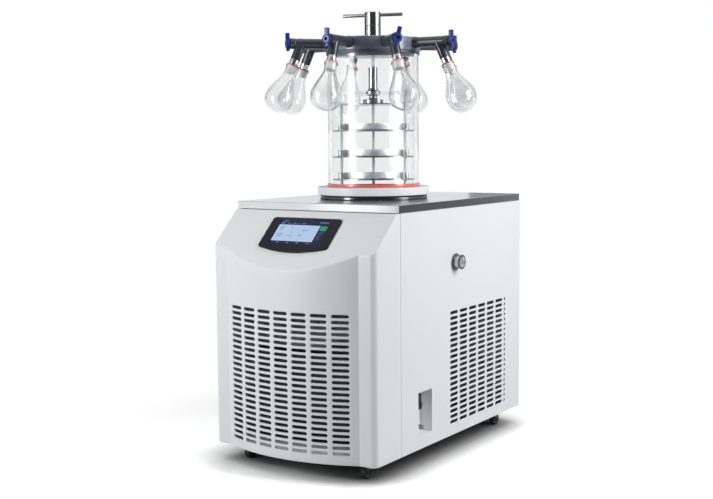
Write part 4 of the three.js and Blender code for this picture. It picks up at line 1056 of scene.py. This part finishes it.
def buildTrap():
    t, top = trap, worktop["topZ"]
    rim, lip, foot = t["radius"], t["lip"], top - t["depth"]
    inside = rim - t["wall"]
    pot = rounded([(0, foot), (rim, foot, 14, 6), (rim, top + gap), (lip, top + gap, 0.5),
                   (lip, top + t["lipHigh"], 1), (inside, top + t["lipHigh"], 2, 4),
                   (inside, foot + t["wall"], 12, 6), (0, foot + t["wall"])], False)
    shape = Shape()
    shape.turned(pot, 96, False, onAxis)
    for k in range(t["coils"]):
        middle = top - t["coilDrop"] - t["coilPitch"] * k
        pipe = circle(t["coilRadius"], middle, t["coilPipe"], t["coilSides"])
        shape.turned(pipe, 96, True, onAxis)
    shape.piece("ice_trap", "cabinet", "stainless", ["turned_steel"], ["cold_trap"])


buildChamber()
buildTrap()
print("chamber: base, tube, seals and cold trap")


# Manifold cover with its arms and outlets

manifold = {"count": 8, "first": -177.1, "rise": 20.5, "arm": 14.5, "reach": 232, "root": 118, "leg": 13.3,
            "legStart": 200, "tilt": 23.1, "twist": 4, "legLength": 48, "sleeve": 12, "sleeveLength": 15,
            "sleeveInside": 4, "ring": 17, "ringThick": 3.5, "spigot": 13.5, "spigotLength": 20,
            "waist": 0.8}
knob = {"radius": 12.5, "thick": 11.5, "bore": 4.5, "boreDepth": 6, "width": 10, "top": 28.5, "tab": 9,
        "tabReach": 20, "tabCut": 2, "inset": 0.6, "edge": 1.0, "turns": [0, 0, 0, -14, 0, 0, 0, 0]}
flask = {"rim": 18.5, "rimThick": 3.2, "mouth": 14.6, "wall": 2, "ground": 27,
         "line": [(16.6, 3.4), (16.5, 14), (16.8, 26), (20.2, 37), (28.5, 55.5), (36.6, 73), (40.6, 88.5),
                  (40.2, 102.5), (34.5, 116), (22.5, 126.4), (9, 130.4), (0, 131)]}
screwBore = 5.1
coverLow, coverHigh, coverRim, coverPlug = chamber["cover"]


def aroundCover(i):
    return shift(0, chamberY, coverLow) @ spin(manifold["first"] + 360 / manifold["count"] * i, "Z")


def downLeg(i):
    lean = spin(manifold["twist"], "X") @ spin(-manifold["tilt"], "Y") @ spin(180, "X")
    return aroundCover(i) @ shift(manifold["legStart"], 0, manifold["rise"]) @ lean


def discProfile():
    plug, face, foot = chamber["tube"][2] - 0.5, coverHigh - 1, coverLow - coverPlug
    return rounded([(screwBore, foot), (plug, foot, 1.5), (plug, coverLow), (coverRim, coverLow, 1.2),
                    (coverRim, coverHigh, 4, 6), (coverRim - 10, coverHigh, 1), (coverRim - 13, face, 1),
                    (26, face, 1), (24, coverHigh, 0.5), (screwBore, coverHigh)])


def buildManifold():
    m = manifold
    armR, root, reach, waist = m["arm"], m["root"], m["reach"], m["arm"] - m["waist"]
    arm = rounded([(0, root), (armR + 1.6, root), (armR + 1.2, coverRim + 3, 3), (waist, coverRim + 14, 6),
                   (waist, reach - 14, 2), (armR, reach - 12, 0.8), (armR, reach, 1.2), (0, reach)], False)
    foot = m["legLength"]
    leg = rounded([(0, 0), (m["leg"] + 0.6, 0), (m["leg"], 16, 4), (m["leg"], foot, 1), (0, foot)], False)
    sleeveR, sleeveEnd = m["sleeve"], foot + m["sleeveLength"]
    sleeve = rounded([(0, foot - m["sleeveInside"]), (sleeveR, foot - m["sleeveInside"]),
                      (sleeveR, foot + 1, 0.4), (sleeveR + 0.4, foot + 1.6, 0.4),
                      (sleeveR + 0.4, sleeveEnd, 0.5), (0, sleeveEnd)], False)
    ringEnd = sleeveEnd + m["ringThick"]
    ring = rounded([(0, sleeveEnd), (m["ring"], sleeveEnd, 1.2), (m["ring"], ringEnd, 1.2), (0, ringEnd)],
                   False)
    spigotR, low, end = m["spigot"], ringEnd + 0.05, ringEnd + m["spigotLength"]
    spigot = rounded([(0, low), (spigotR, low), (spigotR - 0.3, end, 1.5), (0, end)], False)
    cover, sleeves, rings = Shape(), Shape(), Shape()
    cover.turned(discProfile(), 128, True, onAxis, 1)
    for i in range(m["count"]):
        cover.turned(arm, 48, False, aroundCover(i) @ shift(0, 0, m["rise"]) @ spin(90, "Y"))
        cover.turned(leg, 40, False, downLeg(i))
        sleeves.turned(sleeve, 40, False, downLeg(i))
        rings.turned(ring, 40, False, downLeg(i))
        rings.turned(spigot, 40, False, downLeg(i), 1)
    looks = ["cover_black", "cover_slate"]
    cover.piece("manifold_casting", "cabinet", "black_plastic", looks, ["manifold_cover"])
    sleeves.piece("outlet_sleeves", "cabinet", "polished_steel", ["sleeve_steel"])
    rings.piece("outlet_rings", "cabinet", "red_silicone", ["red_silicone", "pale_silicone"])


def buildKnobs():
    k = knob
    bore, r, thick, inset = k["bore"], k["radius"], k["thick"], k["inset"]
    floor, collar = thick - k["boreDepth"], bore + 3
    dial = rounded([(0, 0), (r - 1.5, 0, 0.8), (r, 2.5, 1), (r, thick - 1, 1.2), (bore + 4, thick, 0.8),
                    (collar, thick + hair, 0.5), (bore, thick, 0.6), (bore, floor), (0, floor)], False)
    half, tab = k["width"] / 2, k["tab"] / 2
    lever = rounded([(-k["top"], -half, 1.5), (-collar, -half), (-collar, half), (-k["top"], half, 1.5)])
    foot = rounded([(collar, -tab), (k["tabReach"], -tab, 2.5), (k["tabReach"], tab, 2.5), (collar, tab)])
    for i in range(manifold["count"]):
        outside = shift(manifold["reach"] + gap, 0, manifold["rise"])
        at = aroundCover(i) @ outside @ spin(k["turns"][i], "X") @ spin(90, "Y")
        shape = Shape()
        shape.turned(dial, 48, False, at)
        shape.prism(lever, inset, thick - 0.4, k["edge"], at)
        shape.prism(foot, inset, thick - k["tabCut"], k["edge"], at)
        shape.piece(f"knob_{i + 1}", f"valve_{i + 1}", "blue_plastic", ["knob_blue"],
                    [f"valve_knob_{i + 1}"])


def flaskProfile():
    # The outer line from the mouth to the tip, and the inner one back.
    wall, mouth = flask["wall"], flask["mouth"]
    neckR, neckZ = flask["line"][0]
    outer = smoothed(flask["line"])
    inner = [(0, outer[-1][1] - wall)]
    for i in range(len(outer) - 2, -1, -1):
        along = (Vector(outer[i + 1]) - Vector(outer[max(i - 1, 0)])).normalized()
        inner.append((max(outer[i][0] - along.y * wall, 0.4), outer[i][1] + along.x * wall))
    rim = rounded([(mouth, 0.4, 0.4), (flask["rim"], 0, 1.4), (flask["rim"], flask["rimThick"], 1.4),
                   (neckR, neckZ + 0.3)], False)[1:-1]
    return [(mouth, 0.4)] + rim + outer[1:] + [p for p in inner if p[1] > neckZ + 1]


def buildFlasks():
    start = manifold["legLength"] + manifold["sleeveLength"] + manifold["ringThick"] + gap
    profile = flaskProfile()
    for i in range(manifold["count"]):
        at = downLeg(i) @ shift(0, 0, start)
        back = at.inverted()
        shape = Shape()
        shape.turned(profile, 64, True, at)
        for face in shape.bm.faces:
            face.material_index = 1 if (back @ face.calc_center_median()).z < flask["ground"] else 0
        looks = ["blown_glass", "ground_glass"]
        shape.piece(f"pear_flask_{i + 1}", "cabinet", "flask_glass", looks, [f"flask_{i + 1}"], 60)


buildManifold()
buildKnobs()
buildFlasks()
print("manifold: cover, valves and flasks")


# Press and rack

press = {"hub": 22.2, "hubLow": 1122.1, "hubHigh": 1157.6, "teeLow": 1157.9, "teeHigh": 1194.9,
         "teeDepth": 22, "bar": 4.8, "barLength": 168, "barDrop": 8, "barTurn": 17, "spindle": 4.6,
         "spindleInTee": 20, "plateZ": 941.4, "plateThick": 3, "plateEdge": 0.4, "sleeve": 12.3,
         "sleeveLow": 43, "sleeveTop": 97.5, "foot": [(28, 0, 0.6), (28, 11.5, 1), (14, 12.5, 1),
                                                      (11, 15, 1), (11, 21.5, 1), (20.3, 23.5, 0.6),
                                                      (20.3, 33, 1), (14.8, 36, 2)]}
rack = {"floor": 719.4, "shelf": 113, "shelfThick": 3, "rises": [151, 80.5, 19.5], "rodCircle": 99.5,
        "rods": 3, "rod": 4, "turn": 122.5, "foot": 8, "footHigh": 4, "ringRise": 248, "ringThick": 9.5,
        "ringBore": 62, "rodTop": 4, "boss": 8.2, "bossHigh": 17, "bossLow": 0.5, "tray": 87,
        "trayHigh": 18, "trayWall": 1, "slide": 0.5}


def rodSpots():
    angles = [math.radians(rack["turn"] + 360 / rack["rods"] * k) for k in range(rack["rods"])]
    return [(rack["rodCircle"] * math.cos(a), rack["rodCircle"] * math.sin(a) + chamberY) for a in angles]


def rackDisc(low, thick, edge, play, holes=()):
    # A plate as wide as the shelves, with holes for the rods.
    rodHoles = [circle(x, y, rack["rod"] + play, 24) for x, y in rodSpots()]
    shape = Shape()
    shape.plate(circle(0, chamberY, rack["shelf"], 96), list(holes) + rodHoles, low, low + thick, edge)
    return shape


def buildPress():
    p = press
    hub, low, high = p["hub"], p["hubLow"], p["hubHigh"]
    boss = rounded([(screwBore, low), (hub, low, 0.4), (hub, high, 0.8), (screwBore, high)])
    turnedPiece("hub_sleeve", "cabinet", "polished_steel", "turned_steel", "hub_boss", boss, 72)
    low, high = p["teeLow"], p["teeHigh"]
    depth = low + p["teeDepth"]
    cap = rounded([(0, depth), (screwBore, depth), (screwBore, low), (hub, low, 0.8), (hub, high, 2.2, 5),
                   (0, high)], False)
    tee = Shape()
    tee.turned(cap, 72, False, onAxis)
    barAt = shift(0, chamberY, high - p["barDrop"]) @ spin(p["barTurn"], "Z") @ spin(90, "Y")
    tee.rod(p["bar"], -p["barLength"] / 2, p["barLength"] / 2, 1.2, 32, barAt, 1)
    tee.piece("tee_grip", "tee", "tee_steel", ["turned_steel", "tee_steel"], ["tee_handle"])
    foot = p["plateZ"] + p["plateThick"] + gap
    top, sleeve, sleeveTop = low + p["spindleInTee"], p["sleeve"], foot + p["sleeveTop"]
    screw = [(0, foot)] + [(r, foot + z, bend) for r, z, bend in p["foot"]]
    screw += [(sleeve, foot + p["sleeveLow"], 5), (sleeve, sleeveTop, 0.8), (p["spindle"], sleeveTop),
              (p["spindle"], top, 0.6), (0, top)]
    screw = rounded(screw, False)
    turnedPiece("press_screw", "press", "polished_steel", "turned_steel", "press_spindle", screw, 64, False)
    plate = rackDisc(p["plateZ"], p["plateThick"], p["plateEdge"], rack["slide"])
    plate.piece("press_disc", "press", "stainless", ["sheet_steel"], ["press_plate"])


def buildShelf(i, body):
    k = rack
    z = k["floor"] + k["rises"][i]
    above = z + k["shelfThick"]
    shelf = rackDisc(z, k["shelfThick"], press["plateEdge"], k["slide"])
    bore, low, top = k["rod"] + k["slide"], z + k["bossLow"], above + k["bossHigh"]
    boss = rounded([(bore, low), (k["boss"], low), (k["boss"], top, 0.8), (bore, top, 0.4)])
    for x, y in rodSpots():
        shelf.turned(boss, 28, True, shift(x, y), 1)
    shelf.piece(f"shelf_disc_{i + 1}", body, "stainless", ["sheet_steel", "zinc"], [f"shelf_{i + 1}"])
    low = above + gap
    r, wall, top = k["tray"], k["trayWall"], low + k["trayHigh"]
    pan = rounded([(0, low), (r - 1, low, 2), (r, top, 0.4), (r - wall, top, 0.4),
                   (r - wall - 1, low + wall, 1.5), (0, low + wall)], False)
    turnedPiece(f"tray_pan_{i + 1}", body, "polished_steel", "tray_steel", f"tray_{i + 1}", pan, 96, False)


def buildRack():
    for i, body in enumerate(["upper_shelf", "middle_shelf", "cabinet"]):
        buildShelf(i, body)
    k = rack
    floor, low = k["floor"], k["floor"] + k["ringRise"]
    footTop, top = floor + k["footHigh"], low + k["ringThick"] + k["rodTop"]
    rod = rounded([(0, floor), (k["foot"], floor, 0.5), (k["foot"], footTop, 1), (k["rod"], footTop, 0.5),
                   (k["rod"], top, 0.8), (0, top)], False)
    stand = Shape()
    for x, y in rodSpots():
        stand.turned(rod, 28, False, shift(x, y))
    stand.piece("rack_stand", "cabinet", "stainless", ["rod_steel"], ["rack_frame"])
    ring = rackDisc(low, k["ringThick"], 0.8, gap, [circle(0, chamberY, k["ringBore"], 72)])
    ring.piece("rack_top_ring", "cabinet", "clear_tube", ["clear_plate"])


buildPress()
buildRack()
print("rack: press, shelves and trays")
